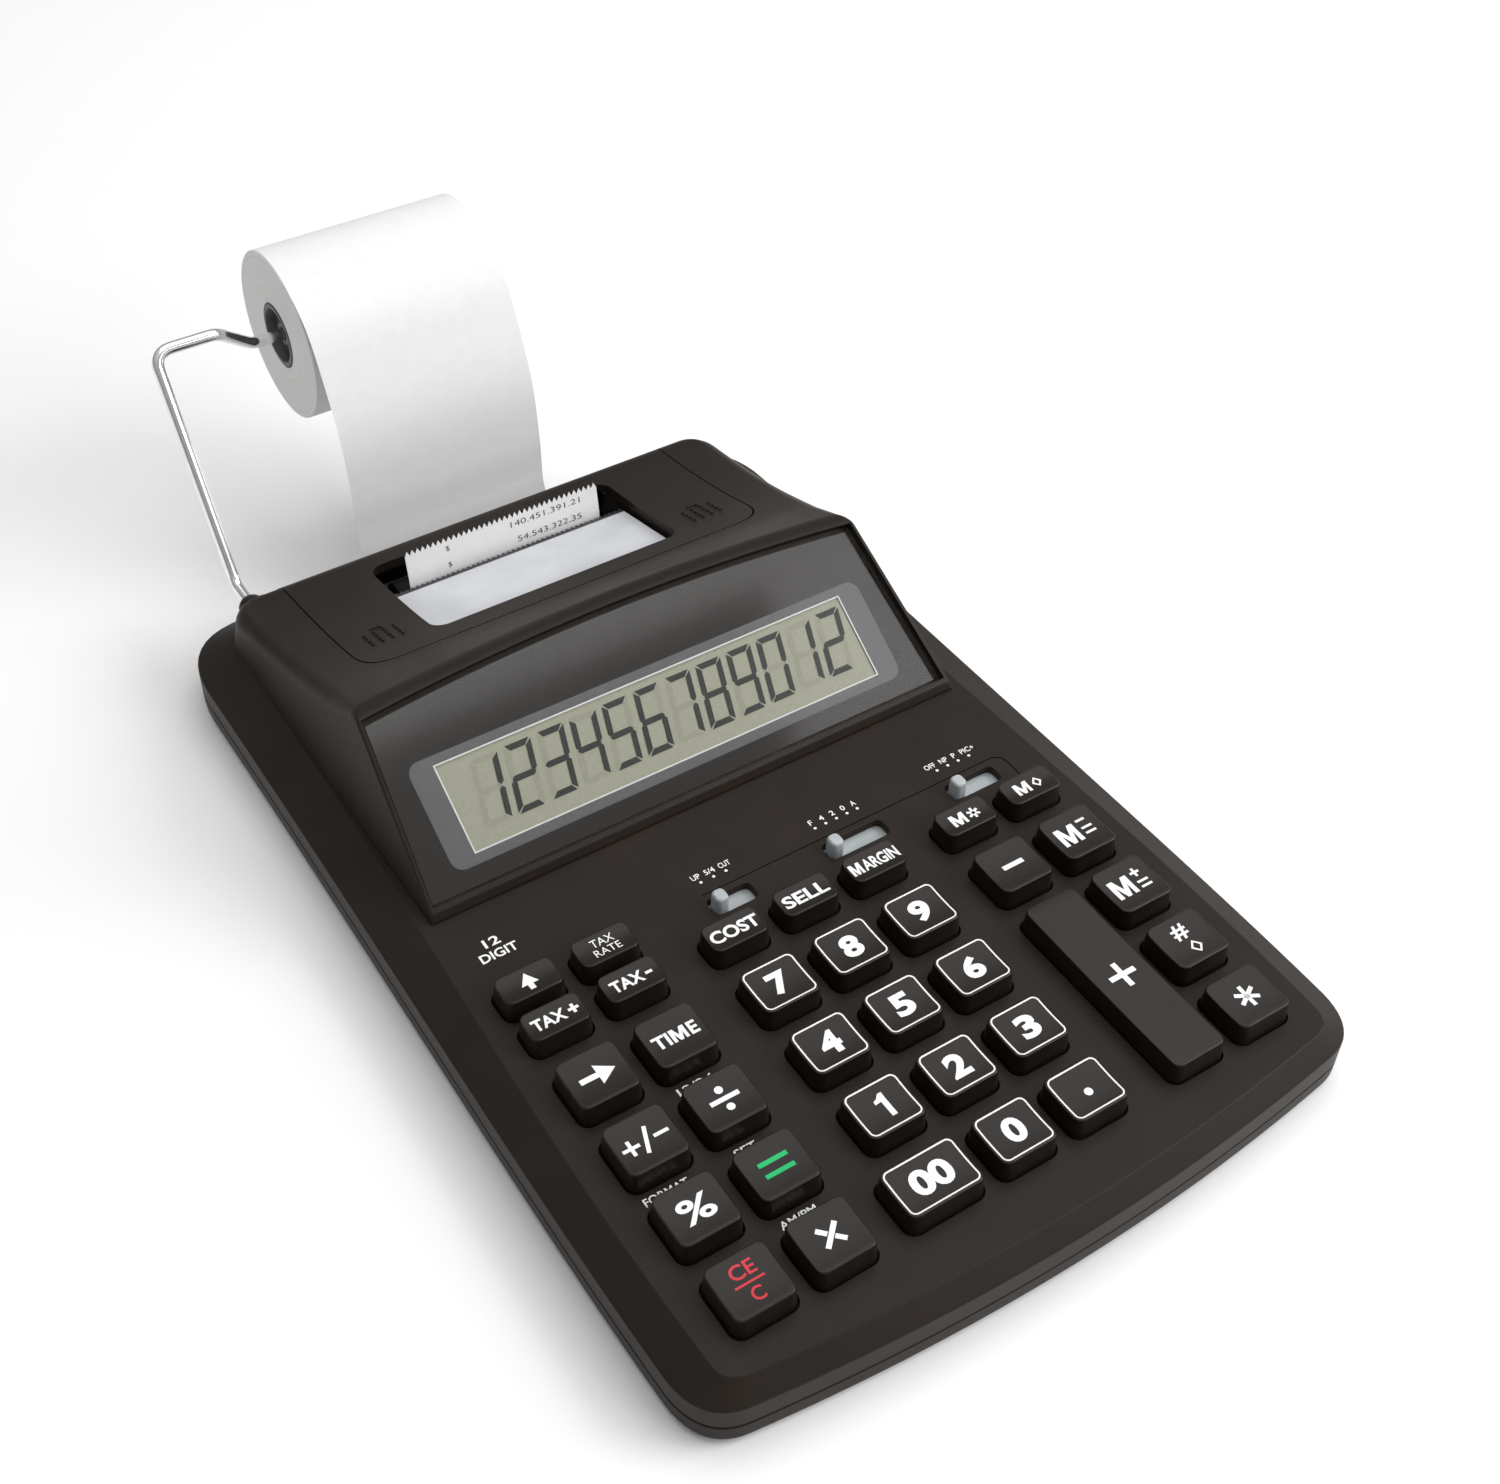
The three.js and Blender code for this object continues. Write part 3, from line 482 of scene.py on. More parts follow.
CASE = moulded("case_plastic", (0.0170, 0.0124, 0.0092), 0.44, 2600, 0.012, specular=0.16)
KEY = moulded("key_plastic", (0.0115, 0.0082, 0.0060), 0.3, 3400, 0.004, specular=0.28)
SWITCH = moulded("switch_plastic", (0.40, 0.43, 0.44), 0.42, 2800, 0.006)
BLACK = moulded("black_plastic", (0.006, 0.0055, 0.005), 0.5, 2600, 0.01)
HUB = moulded("hub_plastic", (0.062, 0.062, 0.063), 0.45, 2600, 0.012)
RUBBER = moulded("foot_rubber", (0.010, 0.0095, 0.009), 0.8, 1800, 0.03, specular=0.2)
SILICONE = moulded("silicone", (0.55, 0.53, 0.48), 0.6, 1500, 0.02)
BOARD = moulded("circuit_board", (0.02, 0.11, 0.035), 0.4, 1200, 0.01)
SILVER = moulded("silver_plate", (0.56, 0.57, 0.59), 0.4, 3000, 0.004)
BEZEL = ink("display_bezel", (0.15, 0.152, 0.155), 0.12, specular=0.6)
LCD = ink("display_glass", (0.43, 0.432, 0.335), 0.25)
FOIL = ink("display_mask", (0.017, 0.0135, 0.011), 0.08, specular=0.85)
CHROME = metal("chrome_wire", (0.90, 0.905, 0.91), 0.16, (1, 1, 0.03))
# The saw's dark colour is partly painted shade of the tear plate's teeth.
SAW_DARK_AND_SHADE = metal("saw_steel_and_shade", (0.09, 0.09, 0.095), 0.4, (1, 0.05, 1))
STEEL = metal("steel", (0.56, 0.57, 0.58), 0.3, (0.03, 1, 1))
PAPER = fibrous("paper", (0.78, 0.78, 0.78), 0.8, 1600, 0.02)
FELT = fibrous("ink_felt", (0.02, 0.012, 0.06), 0.9, 2400, 0.06)
WOUND = wound_paper("wound_paper", (0.80, 0.80, 0.79))
LENS = clear_acrylic("smoke_lens", 0.1, 1.5)
WHITE_INK = ink("white_ink", (0.86, 0.86, 0.85))
GREEN_INK = ink("green_ink", (0.012, 0.47, 0.14))
RED_INK = ink("red_ink", (0.62, 0.035, 0.055))
GREY_INK = ink("receipt_ink", (0.055, 0.055, 0.06), 0.7)
SEGMENT = ink("display_segment", (0.05, 0.05, 0.048), 0.25)
GHOST = ink("display_ghost", (0.385, 0.387, 0.30), 0.25)


# ---- lettering -----------------------------------------------------------------------------
def glyph_mesh(text, weight):
    """Flat outline mesh of a line of text in the built-in font, in font units."""
    curve = bpy.data.curves.new("text", "FONT")
    curve.body = text
    curve.offset = weight
    curve.resolution_u = 5
    holder = new_object("text", curve)
    bpy.context.view_layer.update()
    graph = bpy.context.evaluated_depsgraph_get()
    mesh = bpy.data.meshes.new_from_object(holder.evaluated_get(graph))
    bpy.data.objects.remove(holder)
    bpy.data.curves.remove(curve)
    return mesh


def text_shape(text, centre, height, width=None, weight=0.028):
    """Text as (points, faces) in a plane, its box centred and scaled to a height and a width."""
    mesh = glyph_mesh(text, weight)
    points = [(v.co.x, v.co.y) for v in mesh.vertices]
    faces = [tuple(p.vertices) for p in mesh.polygons]
    bpy.data.meshes.remove(mesh)
    low = [min(p[k] for p in points) for k in (0, 1)]
    high = [max(p[k] for p in points) for k in (0, 1)]
    scale_y = height / (high[1] - low[1])
    scale_x = scale_y if width is None else width / (high[0] - low[0])
    placed = [
        (
            centre[0] + (x - (low[0] + high[0]) / 2) * scale_x,
            centre[1] + (y - (low[1] + high[1]) / 2) * scale_y,
        )
        for x, y in points
    ]
    return placed, faces


def letter_m(x, y, width, height, stroke):
    """A capital M drawn as one outline about its middle."""
    a, b, t = width / 2, height / 2, stroke
    return polygon_shape([
        (x - a, y - b), (x - a + t, y - b), (x - a + t, y + b - 1.75 * t), (x - 0.45 * t, y - b),
        (x + 0.45 * t, y - b), (x + a - t, y + b - 1.75 * t), (x + a - t, y - b), (x + a, y - b),
        (x + a, y + b), (x + a - 1.3 * t, y + b), (x, y - b + 1.9 * t), (x - a + 1.3 * t, y + b),
        (x - a, y + b),
    ])


def figure_one(x, y, height, stroke):
    """The figure 1 with its flag, drawn as one outline about its middle."""
    b, t = height / 2, stroke
    return polygon_shape([
        (x + 0.2, y - b), (x + 0.2 + t, y - b), (x + 0.2 + t, y + b), (x + 0.2 + 0.25 * t, y + b),
        (x - 0.35, y + b - 0.95), (x - 1.3, y + b - 1.3), (x - 1.3, y + b - 2.15), (x + 0.2, y + b - 2.0),
    ])


def polygon_shape(points):
    return list(points), [tuple(range(len(points)))]


def bar_shape(x0, y0, x1, y1, thickness):
    """A straight stroke with square ends."""
    along = Vector((x1 - x0, y1 - y0)).normalized()
    side = Vector((-along.y, along.x)) * thickness / 2
    return polygon_shape([
        (x0 - side.x, y0 - side.y),
        (x1 - side.x, y1 - side.y),
        (x1 + side.x, y1 + side.y),
        (x0 + side.x, y0 + side.y),
    ])


def disc_shape(x, y, radius, sides=20):
    return polygon_shape(circle(x, y, radius, sides))


def ring_shape(outer, inner):
    """The band between two outlines of equal count."""
    count = len(outer)
    faces = [(i, (i + 1) % count, count + (i + 1) % count, count + i) for i in range(count)]
    return list(outer) + list(inner), faces


def lay_shapes(name, shapes, surface, material, body, slice_step=0.9):
    """One flat printed piece from plane shapes, sliced along y so that it follows a curved top.

    surface turns a plane point into a point in millimetres."""
    flat = bmesh.new()
    for points, faces in shapes:
        verts = [flat.verts.new((x, y, 0)) for x, y in points]
        for face in faces:
            flat.faces.new([verts[i] for i in face])
    bmesh.ops.remove_doubles(flat, verts=flat.verts, dist=1e-4)
    bmesh.ops.triangulate(flat, faces=flat.faces)
    if slice_step:
        low = min(v.co.y for v in flat.verts)
        high = max(v.co.y for v in flat.verts)
        y = low + slice_step / 2
        while y < high:
            geometry = flat.verts[:] + flat.edges[:] + flat.faces[:]
            bmesh.ops.bisect_plane(flat, geom=geometry, dist=1e-5, plane_co=(0, y, 0), plane_no=(0, 1, 0))
            y += slice_step
    for vert in flat.verts:
        vert.co = place(*surface(vert.co.x, vert.co.y))
    bmesh.ops.recalc_face_normals(flat, faces=flat.faces)
    upright = sum(f.normal.z * f.calc_area() for f in flat.faces)
    if upright < 0:
        bmesh.ops.reverse_faces(flat, faces=flat.faces)
    return finish_piece(object_from_bmesh(name, flat), name, material, body)


# ---- keys ----------------------------------------------------------------------------------
KEYS = sorted(n for n in frame["nodes"] if n.startswith("key_") and n != "key_mat")


def key_size(node):
    """Middle x and y and the width and depth of a key's top edge."""
    (x0, x1), (y0, y1), _ = node_box(node)
    rim = 2 * (KEY_FLARE + KEY_FLANGE)
    return (x0 + x1) / 2, (y0 + y1) / 2, x1 - x0 - rim, y1 - y0 - rim


def dish(y, half_depth):
    """Height of a key's top, hollow along its depth."""
    share = min(abs(y) / (half_depth - 0.45), 1)
    return KEY_TOP_Z - KEY_DISH * (1 - share * share)


def key_ring(width, depth, radius):
    """A rounded rectangle whose straight sides are divided so that they can follow the dish."""
    outline = rounded_rectangle(width, depth, radius, 6)
    ring = []
    for here, ahead in zip(outline, outline[1:] + outline[:1]):
        ring.append(here)
        if math.dist(here, ahead) > 2 * radius / 3:
            ring += [(here[0] + (ahead[0] - here[0]) * i / 8, here[1] + (ahead[1] - here[1]) * i / 8)
                     for i in range(1, 8)]
    return ring


def build_key(node):
    """A key cap with a dished top and a flange under the panel, as a loft from the bottom up."""
    x, y, width, depth = key_size(node)
    bottom = node_box(node)[2][0]
    flange_top = DECK_Z - PANEL_THICKNESS - GAP
    round_top = 0.36

    def ring(grow, z, scale=1.0):
        points = key_ring(width + 2 * grow, depth + 2 * grow, max(KEY_CORNER + grow, 0.4))
        return [(x + px * scale, y + py * scale, z(py * scale) if callable(z) else z) for px, py in points]

    def under_dish(drop):
        return lambda v: dish(v, depth / 2) - drop

    levels = [
        ring(KEY_FLARE + KEY_FLANGE - 0.15, bottom),
        ring(KEY_FLARE + KEY_FLANGE, bottom + 0.15),
        ring(KEY_FLARE + KEY_FLANGE, flange_top),
        ring(KEY_FLARE, flange_top),
        ring(KEY_FLARE, DECK_Z),
        ring(KEY_FLARE * 0.5, (DECK_Z + KEY_TOP_Z - round_top) / 2),
        ring(0, under_dish(round_top)),
    ]
    for i in range(1, 6):
        angle = i / 5 * math.pi / 2
        levels.append(ring(
            -round_top * (1 - math.cos(angle)), under_dish(round_top * (1 - math.sin(angle)))
        ))
    for i in range(1, 11):
        levels.append(ring(-round_top, under_dish(0), 1 - i / 10.4))
    piece = loft(node, levels)
    return finish_piece(piece, node + "_cap", KEY, node, [node], angle=50)


def asterisk(x, y, radius, thickness):
    """A six-armed star of strokes."""
    shapes = []
    for i in range(3):
        angle = math.pi / 2 + i * math.pi / 3
        dx, dy = radius * math.cos(angle), radius * math.sin(angle)
        shapes.append(bar_shape(x - dx, y - dy, x + dx, y + dy, thickness))
    return shapes


def diamond(x, y, half_width, half_height, line):
    outer = [(x + half_width, y), (x, y + half_height), (x - half_width, y), (x, y - half_height)]
    inner = [
        (x + half_width - line * 1.3, y),
        (x, y + half_height - line * 1.3),
        (x - half_width + line * 1.3, y),
        (x, y - half_height + line * 1.3),
    ]
    return ring_shape(outer, inner)


def plus(x, y, size, thickness):
    return [
        bar_shape(x - size / 2, y, x + size / 2, y, thickness),
        bar_shape(x, y - size / 2, x, y - thickness / 2, thickness),
        bar_shape(x, y + thickness / 2, x, y + size / 2, thickness),
    ]


def arrow(length, head, thickness, upwards=False):
    """A solid arrow whose middle is the origin."""
    half = length / 2
    neck = half - head * 0.78
    shape = [
        (-half, -thickness / 2), (neck, -thickness / 2), (neck, -head / 2),
        (half, 0), (neck, head / 2), (neck, thickness / 2), (-half, thickness / 2),
    ]
    if upwards:
        shape = [(-b, a) for a, b in shape]
    return polygon_shape(shape)


def word(text, width, height, weight=0.03, centre=(0, 0)):
    return [text_shape(text, centre, height, width, weight)]


DIGIT_HEIGHT = 6.2
DIGIT_WIDTHS = {"00": 9.9}
OPERATOR_LEGENDS = {
    "key_shift": [arrow(4.9, 4.2, 1.35, upwards=True)],
    "key_tax_rate": (
        word("TAX", 5.6, 2.1, 0.0, (0, 1.4)) + word("RATE", 6.6, 2.1, 0.0, (0, -1.4))
    ),
    "key_tax_plus": word("TAX", 8.0, 3.2, 0.03, (-1.5, 0)) + plus(4.5, 0.1, 2.5, 0.75),
    "key_tax_minus": (
        word("TAX", 8.0, 3.2, 0.03, (-1.2, 0)) + [bar_shape(3.4, 0, 5.1, 0, 0.75)]
    ),
    "key_cost": word("COST", 12.5, 3.6),
    "key_sell": word("SELL", 11.8, 3.6),
    "key_margin": (
        [letter_m(-5.0, 0, 3.0, 3.5, 0.7)] + word("ARGIN", 9.7, 3.5, 0.028, (1.75, 0))
    ),
    "key_memory_total": (
        [letter_m(-2.1, 0, 4.0, 3.6, 0.82)] + asterisk(2.3, 0, 1.65, 0.66)
    ),
    "key_memory_subtotal": (
        [letter_m(-2.0, 0, 4.0, 3.6, 0.82), diamond(2.4, 0, 1.35, 1.6, 0.5)]
    ),
    "key_backspace": [arrow(8.5, 5.4, 1.4)],
    "key_time": (
        word("TI", 3.9, 3.5, 0.03, (-3.45, 0)) + [letter_m(0.8, 0, 3.7, 3.5, 0.8)]
        + word("E", 2.1, 3.5, 0.03, (4.35, 0))
    ),
    "key_sign": (
        plus(-3.6, -0.3, 4.0, 0.85)
        + [bar_shape(-1.0, -3.1, 1.3, 3.1, 0.9), bar_shape(1.9, 0, 5.4, 0, 0.85)]
    ),
    "key_divide": [
        bar_shape(-3.5, 0, 3.5, 0, 1.15), disc_shape(0, 2.4, 0.95), disc_shape(0, -2.4, 0.95),
    ],
    "key_percent": word("%", 7.6, 6.0, 0.02),
    "key_equals": [
        bar_shape(-3.5, 1.5, 3.5, 1.5, 1.1), bar_shape(-3.5, -1.5, 3.5, -1.5, 1.1),
    ],
    "key_multiply": [
        bar_shape(-2.3, -2.3, 2.3, 2.3, 1.15),
        bar_shape(-2.3, 2.3, -0.57, 0.57, 1.15),
        bar_shape(0.57, -0.57, 2.3, -2.3, 1.15),
    ],
    "key_clear": (
        word("CE", 5.6, 3.3, 0.015, (0, 2.9))
        + [bar_shape(-3.4, 0, 3.4, 0, 0.5)]
        + word("C", 2.7, 3.3, 0.015, (0, -2.9))
    ),
    "key_minus": [bar_shape(-2.9, 0, 2.9, 0, 1.3)],
    "key_memory_minus": (
        [letter_m(-2.4, 0, 5.6, 5.6, 1.2), bar_shape(1.6, 2.6, 4.2, 2.6, 0.65)]
        + [bar_shape(1.6, 0.2, 4.6, 0.2, 0.65), bar_shape(1.6, -1.5, 4.6, -1.5, 0.65)]
    ),
    "key_memory_plus": (
        [letter_m(-2.4, 0, 5.6, 5.6, 1.2)] + plus(2.9, 2.3, 2.5, 0.65)
        + [bar_shape(1.6, -0.5, 4.6, -0.5, 0.65), bar_shape(1.6, -2.1, 4.6, -2.1, 0.65)]
    ),
    "key_plus": plus(0, 0, 7.0, 1.35),
    "key_subtotal": (
        word("#", 4.1, 4.2, 0.02, (-0.4, 2.3)) + [diamond(0.3, -2.7, 1.6, 1.9, 0.5)]
    ),
    "key_total": asterisk(0, 0, 2.9, 1.0),
}
LEGEND_INKS = {"key_equals": GREEN_INK, "key_clear": RED_INK}


def build_legend(node, shapes, material):
    x, y, _, depth = key_size(node)
    lay_shapes(
        node + "_legend",
        shapes,
        lambda px, py: (x + px, y + py, dish(py, depth / 2) + PRINT_LIFT),
        material,
        node,
    )


def number_legend(figure, width, depth):
    """The legend of a digit key: a bold figure inside a thin rounded frame."""
    margin, corner, line = 0.55, 1.5, 0.36
    frame_width, frame_depth = width - 2 * margin, depth - 2 * margin
    frame_ring = ring_shape(
        rounded_rectangle(frame_width, frame_depth, corner),
        rounded_rectangle(frame_width - 2 * line, frame_depth - 2 * line, corner - line),
    )
    if figure == "point":
        return [frame_ring, disc_shape(0, -0.9, 1.0)]
    if figure == "1":
        return [frame_ring, figure_one(0, 0, DIGIT_HEIGHT, 1.3)]
    return [frame_ring] + word(figure, DIGIT_WIDTHS.get(figure, 4.9), DIGIT_HEIGHT, 0.045)


def build_keys():
    for node in KEYS:
        build_key(node)
        _, _, width, depth = key_size(node)
        shapes = OPERATOR_LEGENDS.get(node) or number_legend(node[len("key_"):], width, depth)
        build_legend(node, shapes, LEGEND_INKS.get(node, WHITE_INK))


# ---- top case and printer cover --------------------------------------------------------------
def hood_profile():
    """The hood's top line from front to back, (y, z, radius) with rounded corners."""
    return [
        (58.8, 13.9, 0), (58.8, 17.3, 0.2), (*on_face(-1.5, RIM_HEIGHT), 0.4),
        (*on_face(LENS_LENGTH + 1.4, RIM_HEIGHT), 1.0), (103.4, 45.6, 3.2), (120.9, 38.9, 9),
        (135.1, 34, 8), (152, 29.8, 8), (168.1, 26.9, 6), (HOOD_REAR_Y - 0.1, 25.9, 4.2),
        (HOOD_REAR_Y, 13.9, 0),
    ]


BROW_BOW = 3.7  # the display's top edge and the crest above it arch back by this much


def smoothstep(low, high, value):
    share = min(max((value - low) / (high - low), 0), 1)
    return share * share * (3 - 2 * share)


def bowed(x, y, z):
    """A point of the hood after its crest has been arched back along the display's slope."""
    along = (y - FACE_Y) * math.cos(FACE_ANGLE) + (z - FACE_Z) * math.sin(FACE_ANGLE)
    weight = smoothstep(28, LENS_LENGTH, along) * (1 - smoothstep(101, 120, y))
    shift = BROW_BOW * max(1 - (x / LENS_HALF_TOP) ** 2, 0) * weight
    return x, y + shift * math.cos(FACE_ANGLE), z + shift * math.sin(FACE_ANGLE)


HOOD_CORNER = 9.0


def corner_inset(y, rear, corner):
    """How far the sides draw in where the hood's rear corners are rounded, seen from above."""
    reach = min(max(y - (rear - corner), 0), corner)
    return corner - math.sqrt(corner * corner - reach * reach)


def side_radius(y):
    """How round the hood's long edges are: crisp beside the display, soft further back."""
    share = min(max((y - 98) / 12, 0), 1)
    return 0.9 + 3.6 * share * share * (3 - 2 * share)


def dense_rear(line):
    """Adds points near the rear of the hood's line, so that its corners come out round."""
    dense = [line[0]]
    for here in line[1:]:
        last = dense[-1]
        if here[0] > HOOD_REAR_Y - HOOD_CORNER:
            count = max(int((here[0] - last[0]) / 0.6), 1)
            dense += [
                tuple(a + (b - a) * i / count for a, b in zip(last, here)) for i in range(1, count)
            ]
        dense.append(here)
    return dense


def hood_solid():
    """The hood as one closed loft of sections across the machine."""
    base = 13.8
    arc_steps = 7
    levels = []
    for y, top in dense_rear(rounded_corners(hood_profile(), 8)[1:-1]):
        radius = min(side_radius(y), (top - base) * 0.5)
        inset_here = corner_inset(y, HOOD_REAR_Y, HOOD_CORNER)
        half = HOOD_HALF_DECK - inset_here - HOOD_DRAFT * (top - DECK_Z)
        ring = [(HOOD_HALF_DECK - inset_here - HOOD_DRAFT * (base - DECK_Z), base)]
        for i in range(arc_steps + 1):
            angle = i / arc_steps * math.pi / 2
            ring.append((half - radius + radius * math.cos(angle), top - radius + radius * math.sin(angle)))
        inner = half - radius
        ring += [(inner * (1 - i / 16), top) for i in range(1, 16)] + [(0, top)]
        ring += [(-x, z) for x, z in reversed(ring[:-1])]
        levels.append([bowed(x, y, z) for x, z in ring])
    return loft("hood", levels)


def hood_cavity():
    """The hollow inside the hood, as a loft of sections like the hood itself."""
    line = [
        (63, DECK_Z - 0.6), on_face(2, -3.4), on_face(LENS_LENGTH - 2, -3.4), (102.5, 43.2),
        (120.3, 36.6), (134.6, 31.8), (151.6, 27.5), (167.7, 24.7), (173, 24), (174.1, 22.5),
    ]
    levels = []
    for y, top in dense_rear(line):
        half = HOOD_HALF_DECK - WALL - corner_inset(y, HOOD_REAR_Y - WALL, HOOD_CORNER - WALL)
        half_bottom = half - HOOD_DRAFT * (11.9 - DECK_Z)
        half_top = half - 1.2 - HOOD_DRAFT * (top - DECK_Z)
        half_mid = half - HOOD_DRAFT * (top - 2 - DECK_Z)
        low, mid = 11.9, top - 2
        levels.append([
            (half_bottom, y, low), (half_mid, y, mid), (half_top, y, top),
            (-half_top, y, top), (-half_mid, y, mid), (-half_bottom, y, low),
        ])
    return loft("hood_cavity", levels)


def face_plate(half_bottom, half_top, start, end, below, above, bow=0.0):
    """A plate lying on the display's slope, wider at the bottom and arched at the top by bow."""
    outline = [(-half_bottom, start), (half_bottom, start)]
    steps = 32 if bow else 1
    for i in range(steps + 1):
        share = 1 - 2 * i / steps
        outline.append((half_top * share, end + bow * (1 - share * share)))
    levels = []
    for above_face in (below, above):
        levels.append([(x, *on_face(along, above_face)) for x, along in outline])
    return loft("face_plate", levels)


def cover_region(grow):
    """The printer cover's ground plan, with rounded front corners that curl inwards."""
    half = COVER_HALF + grow
    front = COVER_FRONT_Y - grow
    curl = 9
    side = (half, front + curl)
    right = [(half, 190), side] + bezier((side, (half, front), (half - curl, front)), 8)
    outline = right + [(-x, y) for x, y in reversed(right)]
    outline.reverse()
    return loft("cover_region", flat_levels((outline, COVER_BOTTOM_Z - grow), (outline, 60)))


def window_cut():
    """The window through the cover, its corners rounded."""
    centre = (0, (WINDOW_FRONT_Y + WINDOW_REAR_Y) / 2)
    depth = WINDOW_REAR_Y - WINDOW_FRONT_Y
    outline = rounded_rectangle(2 * WINDOW_HALF, depth, 4, 8, centre)
    return loft("window", flat_levels((outline, 18), (outline, 60)))


def flared_hole(outline_at, top=DECK_Z, below=6):
    """A cutter for a hole through the panel whose mouth is rounded over."""
    return loft("hole", flat_levels(
        (outline_at(0), top - below),
        (outline_at(0), top - 0.32),
        (outline_at(0.05), top - 0.14),
        (outline_at(0.16), top - 0.03),
        (outline_at(0.34), top + 0.02),
        (outline_at(0.34), top + 2),
    ))


def key_hole(node):
    x, y, width, depth = key_size(node)
    grow = KEY_FLARE + GAP
    return flared_hole(lambda more: rounded_rectangle(
        width + 2 * (grow + more), depth + 2 * (grow + more), KEY_CORNER + grow + more, 6, (x, y)
    ))


SWITCHES = {
    "rounding_switch": {
        "marks": (-15.6, -12.1, -8.7),
        "labels": (("UP", -15.9, 2.3), ("5/4", -12.1, 2.7), ("CUT", -8.0, 3.1)),
    },
    "decimal_switch": {
        "marks": (16.6, 19.7, 22.8, 25.9, 28.9),
        "labels": (
            ("F", 16.6, 1.0), ("4", 19.7, 1.2), ("2", 22.8, 1.1), ("0", 25.9, 1.1), ("A", 28.9, 1.3),
        ),
    },
    "print_switch": {
        "marks": (53, 56.3, 59.5, 62.8),
        "labels": (("OFF", 52.2, 3.1), ("NP", 56.3, 2.3), ("P", 59.5, 1.0), ("PIC+", 63.6, 4.1)),
    },
}
KNOB_WIDTH = 3.9
SLOT_DEPTH = 5.2
SLOT_MARGIN = 0.8


def joint_travel(child):
    joint = next(j for j in frame["joints"] if j["child"] == child)
    return joint["range_m"][1] / MM


def switch_place(node):
    """The knob's first x, its y and its travel."""
    return SWITCHES[node]["marks"][0], middle(node)[1], joint_travel(node)


def switch_hole(node):
    x, y, travel = switch_place(node)
    length = travel + KNOB_WIDTH + SLOT_MARGIN
    return flared_hole(lambda more: rounded_rectangle(
        length + 2 * more, SLOT_DEPTH + 2 * more, 1.4 + more, 6, (x + travel / 2, y)
    ))


def groove_cut():
    """The fine line behind the switches, with a hook at its right end."""
    left, right, hook, half_width, depth = -17.5, 69.5, 9, 0.2, 0.3
    y = middle("print_switch")[1] + 4.4
    line = rounded_corners([(left, y, 0), (right, y, 3.5), (right, y - hook, 0)], 8)
    one_side, other_side = [], []
    for i, point in enumerate(line):
        ahead = Vector(line[min(i + 1, len(line) - 1)]) - Vector(line[max(i - 1, 0)])
        side = Vector((-ahead.y, ahead.x)).normalized() * half_width
        one_side.append(tuple(Vector(point) + side))
        other_side.append(tuple(Vector(point) - side))
    outline = other_side + one_side[::-1]
    return loft("groove", flat_levels((outline, DECK_Z - depth), (outline, DECK_Z + 1)))


def slab_solid():
    """Sides, bevel and panel of the top case, with rounded changes of slope."""
    steps = [
        (0.0, PARTING_Z + 0.2), (0.0, EDGE_Z - 0.55), (0.012, EDGE_Z - 0.25), (0.04, EDGE_Z - 0.02),
        (0.09, EDGE_Z + 0.2), (0.92, DECK_Z - 0.28), (0.965, DECK_Z - 0.12), (1.0, DECK_Z),
    ]
    pairs = [(between(CASE_OUTLINE, PANEL_OUTLINE, share), z) for share, z in steps]
    first = (inset(CASE_OUTLINE, 0.25), PARTING_Z + 0.2)
    pairs[0] = (CASE_OUTLINE, PARTING_Z + 0.45)
    return loft("slab", flat_levels(first, *pairs))


def slab_cavity():
    """The hollow under the panel, open at the bottom."""
    return loft("slab_cavity", flat_levels(
        (inset(CASE_OUTLINE, WALL), PARTING_Z - 2),
        (inset(CASE_OUTLINE, WALL), EDGE_Z - 1.6),
        (inset(PANEL_OUTLINE, WALL), DECK_Z - PANEL_THICKNESS),
    ))


def arm_boss():
    return cylinder_y(3.5, 164, 177.6, ARM_X, ARM_Z - 0.4, fillet=2.6)


def rear_notch():
    """The dip in the rear edge between the cover and the wire's boss."""
    return cylinder_y(2.2, HOOD_REAR_Y - WALL, 182, -60.15, 25.9, 40)


def jack_opening():
    (x0, x1), (y0, _), (z0, z1) = node_box("dc_jack")
    return block(x0 - GAP, x1 + GAP, y0 - GAP, 190, z0 - GAP, z1 + GAP)


GRIP_X = 46.6
GRIP_Y = 135
GRIP_PITCH = (2.7, 1.9)


def grip_dots():
    """Places of the raised dots that mark where to hold the cover."""
    marks = []
    for side in (-1, 1):
        for row in range(4):
            for column in range(4):
                marks.append((
                    side * GRIP_X + (column - 1.5) * GRIP_PITCH[0], GRIP_Y + (row - 1.5) * GRIP_PITCH[1]
                ))
    return marks


def cover_height(x, y):
    """Height of the cover's outside at a point on its flat part."""
    line = rounded_corners(hood_profile(), 8)
    for (y0, z0), (y1, z1) in zip(line, line[1:]):
        if y0 <= y <= y1:
            return z0 + (z1 - z0) * (y - y0) / max(y1 - y0, 1e-6)
    return line[-1][1]


def dome(x, y, radius, height):
    """A low round bump whose foot is sunk a little into the surface below it."""
    rings = [(radius, -0.5)]
    rings += [(radius * math.cos(a), height * math.sin(a)) for a in (0, 0.4, 0.8, 1.15, 1.4)]
    return loft("dome", [
        [(px, py, cover_height(px, py) + lift) for px, py in circle(x, y, reach, 12)]
        for reach, lift in rings
    ])


